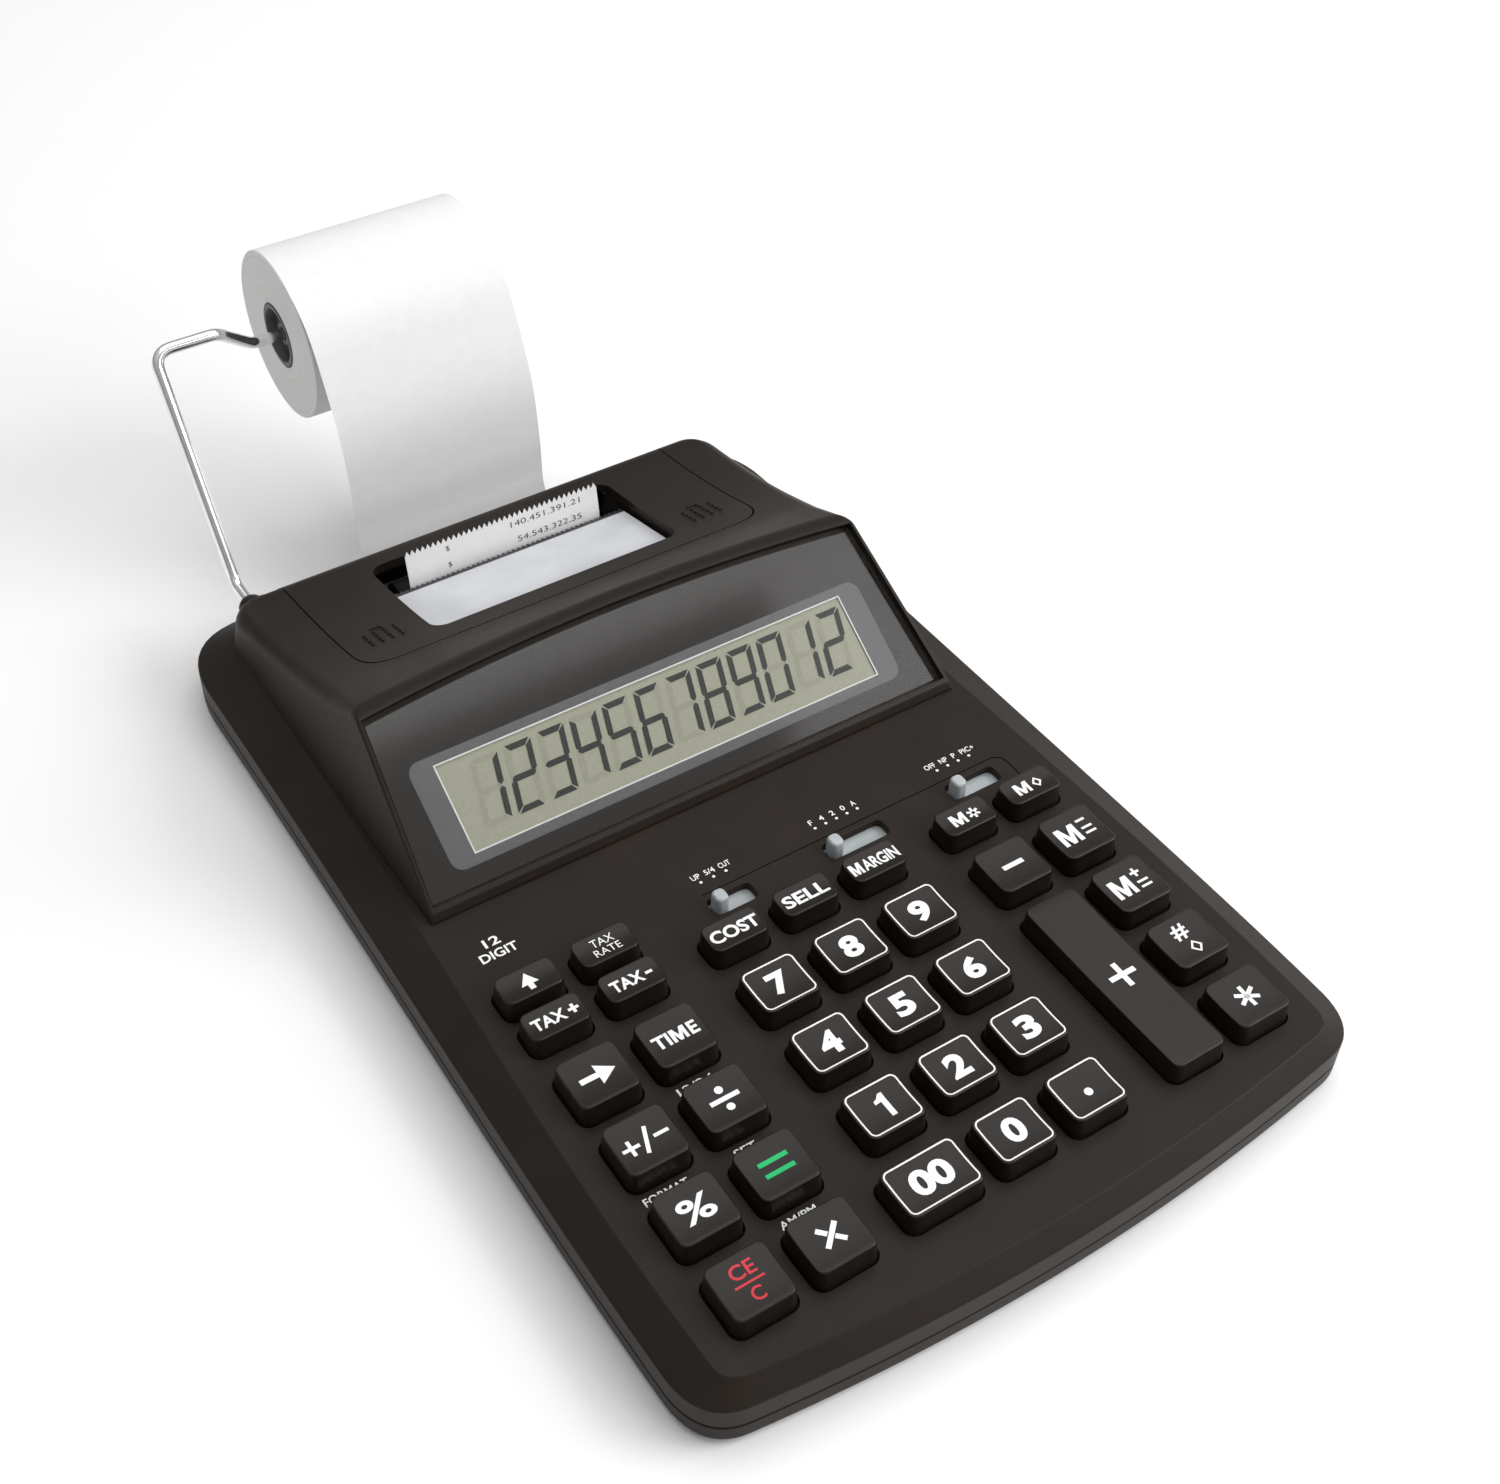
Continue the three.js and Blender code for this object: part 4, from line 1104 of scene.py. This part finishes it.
def build_cover():
    """The printer cover: the hood's rear half, with a skirt round its window and grip dots."""
    cover = hood_solid()
    boolean(cover, "DIFFERENCE", hood_cavity())
    boolean(cover, "INTERSECT", cover_region(0))
    skirt = block(
        -WINDOW_HALF - 1.2, WINDOW_HALF + 1.2, WINDOW_FRONT_Y + 1, WINDOW_REAR_Y + 1.2, 24, 40
    )
    inside = block(
        -WINDOW_HALF + 0.01, WINDOW_HALF - 0.01, WINDOW_FRONT_Y - 3, WINDOW_REAR_Y - 0.01, 20, 50
    )
    boolean(skirt, "DIFFERENCE", inside)
    boolean(skirt, "INTERSECT", hood_solid())
    boolean(cover, "UNION", skirt)
    boolean(cover, "DIFFERENCE", window_cut())
    dots = [dome(x, y, 0.5, 0.55) for x, y in grip_dots()]
    for side in (-1, 1):
        dots.append(bar_mark(side * GRIP_X - 0.1, GRIP_Y + 2.6 * GRIP_PITCH[1]))
    boolean(cover, "UNION", join_meshes("dots", *dots))
    finish_piece(
        clean(cover), "printer_cover_shell", CASE, "printer_cover", ["printer_cover"],
        weighted=True,
    )


def build_top_case():
    """Slab and hood in one shell, with its keys', switches', display's and printer's openings."""
    hood = hood_solid()
    case = slab_solid()
    boolean(hood, "DIFFERENCE", rear_notch())
    boolean(case, "UNION", hood, arm_boss())
    boolean(case, "DIFFERENCE", slab_cavity(), hood_cavity())
    boolean(case, "DIFFERENCE", join_meshes(
        "holes", *[key_hole(n) for n in KEYS], *[switch_hole(n) for n in SWITCHES]
    ))
    boolean(case, "DIFFERENCE", groove_cut())
    boolean(case, "DIFFERENCE", face_plate(
        LENS_HALF_BOTTOM + GAP, LENS_HALF_TOP + GAP, -GAP, LENS_LENGTH + 3 * GAP,
        -LENS_THICKNESS - GAP, 3, BROW_BOW,
    ))
    boolean(case, "DIFFERENCE", face_plate(62, 62, 5, 33.4, -9, 3))
    boolean(case, "DIFFERENCE", cover_region(0.38))
    boolean(case, "DIFFERENCE", block(-30, 30, 150, 190, 7.7, 11), jack_opening())
    boolean(case, "DIFFERENCE", cylinder_y(WIRE_RADIUS + GAP, 158, 190, ARM_X, ARM_Z))
    finish_piece(clean(case), "top_case_shell", CASE, "case", ["top_case"], weighted=True)


def bar_mark(x, y):
    """The small raised hook behind each patch of dots."""
    outline = [
        (x - 1.5, y - 0.3), (x + 1.0, y - 0.3), (x + 1.0, y - 1.0), (x + 1.6, y - 1.0),
        (x + 1.6, y + 0.3), (x - 1.5, y + 0.3),
    ]
    levels = []
    for lift, grow in ((-0.5, 0), (0.25, 0), (0.36, -0.1)):
        ring = inset(outline, -grow)
        levels.append([(px, py, cover_height(px, py) + lift) for px, py in ring])
    return loft("bar", levels)


def build_bottom_case():
    """The tray under the machine, with recesses for feet, screws and the power inlet."""
    tray = loft("tray", flat_levels(
        (inset(CASE_OUTLINE, 1.3), 1.0),
        (inset(CASE_OUTLINE, 0.75), 1.12),
        (inset(CASE_OUTLINE, 0.3), 1.5),
        (inset(CASE_OUTLINE, 0.05), 2.1),
        (CASE_OUTLINE, 2.7),
        (CASE_OUTLINE, PARTING_Z - 0.45),
        (inset(CASE_OUTLINE, 0.25), PARTING_Z - 0.2),
    ))
    boolean(tray, "DIFFERENCE", loft("tray_cavity", flat_levels(
        (inset(CASE_OUTLINE, WALL), FLOOR_Z), (inset(CASE_OUTLINE, WALL), PARTING_Z + 2)
    )))
    for foot in ("front_foot", "rear_foot"):
        (x0, x1), (y0, y1), (_, z1) = node_box(foot)
        boolean(tray, "DIFFERENCE", block(x0 - GAP, x1 + GAP, y0 - GAP, y1 + GAP, 0, z1 + GAP))
    screw_holes = [screw_well(x, y) for x, y in SCREWS]
    boolean(tray, "DIFFERENCE", join_meshes("wells", *screw_holes), jack_opening())
    finish_piece(
        clean(tray), "bottom_case_shell", CASE, "case", ["bottom_case"], weighted=True
    )


SCREWS = [(-62, -40), (62, -40), (-62, 120), (62, 120)]


def screw_well(x, y):
    ring = circle(x, y, 3.4, 28)
    return loft("well", flat_levels((ring, 0), (ring, 2.2)))


def build_screws():
    """Pan-head case screws with a cross recess, seen from below."""
    reach, half_slot = 1.4, 0.28
    profile = ((2.15, 2.6), (1.7, 2.55), (1.42, 2.2), (1.28, 1.6), (1.22, 0.8))
    for number, (x, y) in enumerate(SCREWS, 1):
        head = loft("screw", flat_levels(*[(circle(x, y, radius, 32), z) for z, radius in profile]))
        for a, b in ((reach, half_slot), (half_slot, reach)):
            boolean(head, "DIFFERENCE", block(x - a, x + a, y - b, y + b, 1, 1.7))
        finish_piece(head, f"case_screw_{number}", STEEL, "case")


def build_feet():
    """The rubber strips under the case, rounded at the bottom."""
    for foot in ("front_foot", "rear_foot"):
        (x0, x1), (y0, y1), (z0, z1) = node_box(foot)
        centre = ((x0 + x1) / 2, (y0 + y1) / 2)
        width, depth = x1 - x0, y1 - y0
        pairs = []
        for grow, z in ((-0.5, z0), (-0.2, z0 + 0.08), (-0.05, z0 + 0.25), (0, z0 + 0.55), (0, z1)):
            pairs.append((
                rounded_rectangle(width + 2 * grow, depth + 2 * grow, 1.2 + grow, 5, centre), z
            ))
        finish_piece(
            loft(foot, flat_levels(*pairs)), foot + "_strip", RUBBER, "case", [foot]
        )


# ---- switches --------------------------------------------------------------------------------
def build_switches():
    """Each switch is a plate under the panel with a rounded knob through the slot."""
    plate_top = DECK_Z - PANEL_THICKNESS - GAP
    knob_top = node_box("print_switch")[2][1]
    for node in SWITCHES:
        x, y, _ = switch_place(node)
        (x0, x1), (y0, y1), (z0, _) = node_box(node)
        outline = rounded_rectangle(x1 - x0, y1 - y0, 0.5, 3, ((x0 + x1) / 2, y))
        plate = loft("plate", flat_levels((outline, z0), (outline, plate_top)))
        pairs = []
        for grow, z in (
            (0, plate_top - 0.5), (0, DECK_Z + 0.4), (-0.1, knob_top - 0.9), (-0.22, knob_top - 0.45),
            (-0.45, knob_top - 0.14), (-0.8, knob_top),
        ):
            pairs.append((
                rounded_rectangle(
                    KNOB_WIDTH - 0.3 + 2 * grow, SLOT_DEPTH - 1.1 + 2 * grow, 1.45 + grow, 7, (x, y)
                ), z,
            ))
        boolean(plate, "UNION", loft("knob", flat_levels(*pairs)))
        finish_piece(
            clean(plate), node + "_knob", SWITCH, node, [node], angle=45, weighted=True
        )


# ---- printing on the panel -------------------------------------------------------------------
def on_deck(x, y):
    return x, y, DECK_Z + PRINT_LIFT


def build_panel_printing():
    """Marks and labels of the switches, second meanings behind keys and the plain lettering."""
    marks_behind, mark_radius, label_behind, label_height, boldness = 8, 0.38, 2.0, 1.6, 0.012
    shapes = []
    for node, setting in SWITCHES.items():
        y = middle(node)[1] + marks_behind
        shapes += [disc_shape(x, y, mark_radius, 14) for x in setting["marks"]]
        for label, x, width in setting["labels"]:
            shapes.append(text_shape(label, (x, y + label_behind), label_height, width, boldness))
    for node, label in (
        ("key_divide", "12/24"), ("key_equals", "SET"), ("key_percent", "FORMAT"), ("key_multiply", "AM/PM"),
    ):
        x, y, _, depth = key_size(node)
        shapes.append(text_shape(label, (x - 1.2, y + depth / 2 + 2.6), 2.0, 1.75 * len(label), boldness))
    x, y, _, _ = key_size("key_shift")
    for label, behind, width in (("12", 18.2, 3.9), ("DIGIT", 14.5, 9.2)):
        shapes.append(text_shape(label, (x + 0.2, y + behind), 2.6, width, 0.02))
    lay_shapes("panel_printing", shapes, on_deck, WHITE_INK, "case", 0)


# ---- display ---------------------------------------------------------------------------------
LCD_HALF = 57.45
LCD_RANGE = (7.5, 30.2)
BEZEL_HALF = 63.6
BEZEL_RANGE = (5.0, 32.5)
FIRST_DIGIT_X = -47.2
DIGIT_PITCH = 8.89
DIGIT_MIDDLE = 19.8
SEGMENTS = {
    "0": "abcdef", "1": "bc", "2": "abged", "3": "abgcd", "4": "fgbc",
    "5": "afgcd", "6": "afgedc", "7": "abc", "8": "abcdefg", "9": "abcdfg",
}


def segment_shapes():
    """The seven bars of a digit about its middle, as pointed polygons before the slant."""
    half_width, half_height, thick, gap = 3.6, 8.1, 1.5, 0.24
    top = [
        (-half_width + gap * 1.6, half_height), (half_width - gap * 1.6, half_height),
        (half_width - thick - gap * 0.6, half_height - thick),
        (-half_width + thick + gap * 0.6, half_height - thick),
    ]
    waist = [
        (-half_width + gap * 1.4, 0), (-half_width + thick * 0.75, thick / 2),
        (half_width - thick * 0.75, thick / 2), (half_width - gap * 1.4, 0),
        (half_width - thick * 0.75, -thick / 2), (-half_width + thick * 0.75, -thick / 2),
    ]
    upper_right = [
        (half_width, half_height - gap * 1.6), (half_width - thick, half_height - (thick + gap * 0.6)),
        (half_width - thick, thick / 2 + gap), (half_width - thick / 2, gap * 0.8),
        (half_width, thick / 2 + gap * 0.3),
    ]

    def mirrored(points, side_x, side_y):
        return [(x * side_x, y * side_y) for x, y in points]

    return {
        "a": top, "g": waist, "d": mirrored(top, 1, -1),
        "f": mirrored(upper_right, -1, 1), "b": upper_right,
        "e": mirrored(upper_right, -1, -1), "c": mirrored(upper_right, 1, -1),
    }


def build_display():
    """The clear window and, behind it, the panel with its mask, frame, white line and digits."""
    lens = face_plate(
        LENS_HALF_BOTTOM, LENS_HALF_TOP, 0, LENS_LENGTH, -LENS_THICKNESS, 0, BROW_BOW
    )
    bevel_edges(lens, 0.25, 3, 50)
    finish_piece(lens, "display_window", LENS, "case", ["display_lens"])

    below = -LENS_THICKNESS - GAP  # height of the printed layers, measured from the window's face
    panel = face_plate(61.4, 61.4, 5.6, 32.8, -4, below - 0.12)
    finish_piece(panel, "display_module", LCD, "case", ["lcd_panel"])

    mask = face_plate(
        LENS_HALF_BOTTOM - 0.6, LENS_HALF_TOP - 0.6, 0.6, LENS_LENGTH - 0.4, below + 0.02, below + 0.22,
        BROW_BOW,
    )
    boolean(mask, "DIFFERENCE", face_plate(LCD_HALF, LCD_HALF, *LCD_RANGE, below - 1, below + 1))
    finish_piece(mask, "display_mask", FOIL, "case")

    def on_panel(lift):
        return lambda x, along: (x, *on_face(along, below - 0.12 + lift))

    middle_along = sum(LCD_RANGE) / 2
    lcd_size = (2 * LCD_HALF, LCD_RANGE[1] - LCD_RANGE[0])
    bezel_size = (2 * BEZEL_HALF, BEZEL_RANGE[1] - BEZEL_RANGE[0])
    bezel = ring_shape(
        rounded_rectangle(*bezel_size, 3.2, 8, (0, sum(BEZEL_RANGE) / 2)),
        rounded_rectangle(*lcd_size, 0.02, 8, (0, middle_along)),
    )
    lay_shapes("display_bezel", [bezel], on_panel(0.36), BEZEL, "case", 0)
    line = 0.38
    outline = ring_shape(
        rounded_rectangle(*lcd_size, 0.02, 2, (0, middle_along)),
        rounded_rectangle(lcd_size[0] - 2 * line, lcd_size[1] - 2 * line, 0.02, 2, (0, middle_along)),
    )
    lay_shapes("display_outline", [outline], on_panel(0.37), WHITE_INK, "case", 0)

    slant = 0.22
    lit, faint = [], []
    for i, figure in enumerate("123456789012"):
        digit_x = FIRST_DIGIT_X + i * DIGIT_PITCH
        for key, points in segment_shapes().items():
            target = lit if key in SEGMENTS[figure] else faint
            target.append(polygon_shape([(digit_x + x + y * slant, DIGIT_MIDDLE + y) for x, y in points]))
    lay_shapes("display_digits", lit, on_panel(0.10), SEGMENT, "case", 0)
    lay_shapes("display_ghosts", faint, on_panel(0.05), GHOST, "case", 0)


# ---- printer, paper and arm ------------------------------------------------------------------
def build_tear_plate():
    """The silver plate that the strip is torn against, with a toothed rear edge and a dark saw whose colour
    is partly painted shade of the teeth.
    """
    rear, front = Vector((155.4, 25.2)), Vector((126.5, 32.4))
    half, teeth, tooth, thickness = 34.4, 46, 0.9, 0.8
    length = (front - rear).length
    along = (front - rear) / length
    up = Vector((along.y, -along.x))
    pitch = 2 * half / teeth

    def on_plate(x, distance, height):
        spot = rear + along * distance + up * height
        return x, spot.x, spot.y

    outline = []
    for i in range(teeth):
        outline += [(-half + i * pitch, 0), (-half + (i + 0.5) * pitch, -tooth)]
    outline += [(half, 0), (half, length), (-half, length)]
    levels = []
    for height, grow in ((0, 0), (thickness - 0.12, 0), (thickness, 0.1)):
        levels.append([
            on_plate(x * (1 - grow / half), v + (grow if v <= 0 else -grow), height) for x, v in outline
        ])
    finish_piece(loft("tear", levels), "tear_plate_blade", SILVER, "case", ["tear_plate"])

    # A dark toothed ridge on the plate: its dark colour is partly painted shade of the teeth.
    start, saw_pitch, foot, low, high = -half + 0.2, pitch * 0.994, 0.9, 0.35, -0.75
    ridge = [(start, foot)]
    for i in range(teeth):
        ridge += [(start + (i + 0.5) * saw_pitch, high), (start + (i + 1) * saw_pitch, low)]
    ridge.append((ridge[-1][0], foot))
    saw = [[on_plate(x, v, height) for x, v in ridge] for height in (thickness + 0.04, thickness + 0.3)]
    finish_piece(loft("saw", saw), "tear_plate_saw_and_shade", SAW_DARK_AND_SHADE, "case")


WEB_ROUTE = [
    (218.2, 83.6), (207.3, 76.2), (199.3, 62.5), (193.2, 47.8), (190.5, 30), (189.6, 15.5),
    (186.9, 10.6), (181.5, 9.3), (172, 9.1), (164.5, 9), (159.8, 11), (157.9, 15.6),
    (157.9, 23.5), (159.7, 35.2),
]


def lerp_at(row, knots, k, span, t):
    """The blend of two neighbours of a row for the time t between their knots."""
    start, end = knots[k], knots[k + span]
    return row[k] * ((end - t) / (end - start)) + row[k + 1] * ((t - start) / (end - start))


def smooth_route(points, steps):
    """A centripetal curve through points, as (y, z) pairs."""
    line = [Vector(p) for p in points]
    line = [line[0] * 2 - line[1], *line, line[-1] * 2 - line[-2]]
    result = []
    for corners in zip(line, line[1:], line[2:], line[3:]):
        knots = [0]
        for here, ahead in zip(corners, corners[1:]):
            knots.append(knots[-1] + (ahead - here).length ** 0.5)
        for i in range(steps):
            t = knots[1] + (knots[2] - knots[1]) * i / steps
            row = corners
            for span in (1, 2):
                row = [lerp_at(row, knots, k, span, t) for k in range(len(row) - 1)]
            result.append(row[0] * ((knots[2] - t) / (knots[2] - knots[1]))
                          + row[1] * ((t - knots[1]) / (knots[2] - knots[1])))
    return result + [line[-2]]


def build_paper_web():
    """The paper from the roll to the printed strip, whose end is torn in a zigzag."""
    route = smooth_route(WEB_ROUTE, 8)
    teeth, tooth, thickness = 38, 1.5, 0.1
    columns = 2 * teeth
    points, faces = [], []
    rows = len(route)
    for side in (-1, 1):
        for r, here in enumerate(route):
            ahead = (route[min(r + 1, rows - 1)] - route[max(r - 1, 0)]).normalized()
            normal = Vector((-ahead.y, ahead.x)) * (thickness / 2 * side)
            for c in range(columns + 1):
                drop = tooth if r == rows - 1 and c % 2 == 0 else 0
                spot = here - ahead * drop + normal
                points.append((-PAPER_HALF + 2 * PAPER_HALF * c / columns, spot.x, spot.y))
    width = columns + 1
    sheet = rows * width

    def quad(a, b, c, d, flip):
        faces.append((a, d, c, b) if flip else (a, b, c, d))

    for s in (0, 1):
        for r in range(rows - 1):
            for c in range(columns):
                a = s * sheet + r * width + c
                quad(a, a + 1, a + 1 + width, a + width, s == 1)
    for r in range(rows - 1):
        for c in (0, columns):
            a = r * width + c
            quad(a, a + width, a + width + sheet, a + sheet, c == columns)
    for r in (0, rows - 1):
        for c in range(columns):
            a = r * width + c
            quad(a, a + 1, a + 1 + sheet, a + sheet, r == 0)
    web = object_from("web", points, faces)
    finish_piece(web, "paper_strip", PAPER, "case", ["paper_web"], angle=60)

    top, below = route[-1], route[-6]
    along = (top - below).normalized()
    front = Vector((along.y, -along.x)) * -1
    height, right_edge, thinning = 1.7, 23.1, -0.004
    shapes = []
    for text, drop in (("140.451.391.21", 3.4), ("54.543.322.35", 8.2)):
        width = 1.5 * len(text)
        shapes.append(text_shape(text, (right_edge - width / 2, -drop), height, width, thinning))
        shapes.append(text_shape("$", (-16.5, -drop), height, 1.1, thinning))

    def on_strip(x, v):
        spot = top + along * v + front * (thickness / 2 + PRINT_LIFT)
        return x, spot.x, spot.y

    lay_shapes("strip_printing", shapes, on_strip, GREY_INK, "case", 0)


def build_roll():
    """Roll and core; the core's ends are stepped, with the axle's clearance hole."""
    def both_ends(end):
        """A closed profile from one end's points, which are mirrored for the other end."""
        return [(-x, r) for x, r in end] + [(x, r) for x, r in reversed(end)]

    half, edge = PAPER_HALF, 0.25
    profile = both_ends([(half - edge, ROLL_RADIUS), (half, ROLL_RADIUS - edge), (half, CORE_RADIUS + GAP)])
    roll = lathe_x("roll", profile, ROLL_Y, ROLL_Z, 160)
    finish_piece(roll, "paper_roll_body", PAPER, "paper_roll", ["paper_roll"], angle=40)
    roll.data.materials.append(WOUND)
    for polygon in roll.data.polygons:
        if abs(polygon.normal.x) > 0.9:
            polygon.material_index = 1

    half = PAPER_HALF + 0.2
    bore = WIRE_RADIUS + GAP
    profile = both_ends([
        (half - 0.3, CORE_RADIUS), (half, CORE_RADIUS - 0.3), (half, CORE_RADIUS - 1.2),
        (half - 0.4, CORE_RADIUS - 1.5), (half - 2.6, CORE_RADIUS - 2.0), (half - 2.6, bore + 1.6),
        (half - 1.6, bore + 1.2), (half - 1.6, bore),
    ])
    core = lathe_x("core", profile, ROLL_Y, ROLL_Z)
    finish_piece(core, "roll_core_hub", HUB, "paper_roll", ["roll_core"])


def tube_along(name, route, radii, sides=28):
    """A closed tube along points in millimetres with a radius at each."""
    line = [Vector(p) for p in route]
    side = (line[1] - line[0]).normalized().orthogonal().normalized()
    levels = []
    for i, (here, radius) in enumerate(zip(line, radii)):
        ahead = (line[min(i + 1, len(line) - 1)] - line[max(i - 1, 0)]).normalized()
        side = (side - ahead * side.dot(ahead)).normalized()
        other = ahead.cross(side)
        levels.append([tuple(here + side * a + other * b) for a, b in circle(0, 0, radius, sides)])
    return loft(name, levels)


def build_arm():
    """The bent chromed wire from its socket to the roll's axle."""
    corners = [
        (ARM_X, 168, ARM_Z), (ARM_X, 185, ARM_Z), (ARM_X, 217.6, 75.6), (-48.5, 217.6, 75.6),
        (-36, ROLL_Y, ROLL_Z), (PAPER_HALF + 3, ROLL_Y, ROLL_Z),
    ]
    bend_radius = 5
    route = [Vector(corners[0])]
    for before, here, after in zip(corners, corners[1:], corners[2:]):
        here = Vector(here)
        to_before = (Vector(before) - here).normalized()
        to_after = (Vector(after) - here).normalized()
        reach = bend_radius / math.tan(to_before.angle(to_after) / 2)
        start = here + to_before * reach
        end = here + to_after * reach
        straight = (start - route[-1]).length
        count = max(2, int(straight / 3))
        last = route[-1].copy()
        route += [last.lerp(start, (i + 1) / count) for i in range(count)]
        for i in range(1, 13):
            t = i / 12
            route.append(start * (1 - t) ** 2 + here * (2 * t * (1 - t)) + end * t * t)
    last = route[-1].copy()
    route += [last.lerp(Vector(corners[-1]), (i + 1) / 20) for i in range(20)]
    radii = [WIRE_RADIUS * 0.985] * len(route)
    radii[0] = radii[-1] = WIRE_RADIUS * 0.6
    arm = tube_along("arm", route, radii)
    finish_piece(arm, "paper_arm_wire", CHROME, "case", ["paper_arm"], angle=40)


def build_jack():
    """The round power inlet at the back, its mouth chamfered."""
    (x0, x1), (y0, y1), (z0, z1) = node_box("dc_jack")
    x, z = (x0 + x1) / 2, 8.3
    shell = block(x0, x1, y0, y1, z0, z1)
    boolean(shell, "DIFFERENCE", cylinder_y(2.9, y0 + 4, y1 + 3, x, z))
    pin = cylinder_y(0.9, y0 + 3, y1 - 1, x, z, 24, fillet=0.5)
    boolean(shell, "UNION", pin)
    bevel_edges(shell, 0.2, 2, 60)
    finish_piece(shell, "power_inlet", BLACK, "case", ["dc_jack"])


INSIDE = {
    "main_pcb": BOARD, "key_mat": SILICONE, "printer_frame": STEEL, "platen_roller": RUBBER,
    "ink_roller": FELT, "motor_pinion": STEEL, "drive_motor": STEEL, "print_carriage": BLACK,
}


def finish_inside():
    """Inner CAD pieces keep their shape and only get their finish."""
    for node, material in INSIDE.items():
        piece = frame["nodes"][node]
        if not piece.material_slots:
            piece.data.materials.append(material)
        for material_slot in piece.material_slots:
            material_slot.link = "OBJECT"
            material_slot.material = material


# ---- scene -----------------------------------------------------------------------------------
def build_camera():
    data = bpy.data.cameras.new("camera")
    data.sensor_fit = "HORIZONTAL"
    data.sensor_width = 36
    data.lens = 49.44
    data.clip_start, data.clip_end = 0.01, 20
    camera = new_object("camera", data)
    right, up, back = (0.8337, -0.5517, 0.0260), (0.3723, 0.5961, 0.7114), (-0.4079, -0.5834, 0.7023)
    position = [c * MM for c in (-188.53, -312.67, 375.01)]
    camera.matrix_world = Matrix((*zip(right, up, back, position), (0, 0, 0, 1)))
    bpy.context.scene.camera = camera


def add_light(name, position, target, size, power):
    data = bpy.data.lights.new(name, "AREA")
    data.shape = "RECTANGLE"
    data.size, data.size_y = size
    data.energy = power
    light = new_object(name, data)
    light.location = position
    light.rotation_mode = "QUATERNION"
    light.rotation_quaternion = (Vector(target) - Vector(position)).to_track_quat("-Z", "Y")


def add_panel(name, span_x, span_y, height, radiance):
    """A level soft box given by its sides, its height and its brightness."""
    width, depth = span_x[1] - span_x[0], span_y[1] - span_y[0]
    centre = (sum(span_x) / 2, sum(span_y) / 2)
    add_light(
        name, (*centre, height), (*centre, 0), (width, depth), radiance * math.pi * width * depth
    )


def build_stage():
    """A pale floor, a grey studio that is lighter overhead and four soft lamps."""
    grid = bmesh.new()
    bmesh.ops.create_grid(grid, x_segments=24, y_segments=24, size=6.0)
    floor = object_from_bmesh("floor", grid)
    floor.location = (0, 0, -0.0002)
    look = Look("floor")
    tone = look.noise(2, 1)
    look.link(plain_ramp(look.nodes, look.links, tone, [0.90] * 3, [0.91] * 3), "Base Color")
    look.set(Roughness=0.9, Specular_IOR_Level=0.1)
    floor.data.materials.append(look.material)

    world = bpy.data.worlds.new("studio")
    world.use_nodes = True
    nodes, links = world.node_tree.nodes, world.node_tree.links
    coordinates = nodes.new("ShaderNodeTexCoord")
    split = nodes.new("ShaderNodeSeparateXYZ")
    links.new(coordinates.outputs["Generated"], split.inputs["Vector"])
    sky = plain_ramp(nodes, links, split.outputs["Z"], [0.24] * 3, [0.58] * 3, 0.1, 0.95)
    links.new(sky, nodes["Background"].inputs["Color"])
    bpy.context.scene.world = world
    add_panel("top_panel", (-0.35, 1.3), (-0.483, 0.75), 1.2, 1.5)
    add_panel("side_panel", (0.66, 1.3), (-0.85, -0.483), 1.2, 1.6)
    add_light("key_light", (1.25, -0.8, 0.95), (0, 0, 0), (0.8, 0.8), 15)
    add_light("edge_light", (0.62, -1.12, 0.8), (0, -0.05, 0), (0.6, 0.3), 4)
    bpy.context.scene.view_settings.view_transform = "Standard"


# ---- build -----------------------------------------------------------------------------------
build_camera()
build_stage()
build_cover()
build_top_case()
build_bottom_case()
build_screws()
build_feet()
build_keys()
build_switches()
build_panel_printing()
build_display()
build_tear_plate()
build_paper_web()
build_roll()
build_arm()
build_jack()
finish_inside()
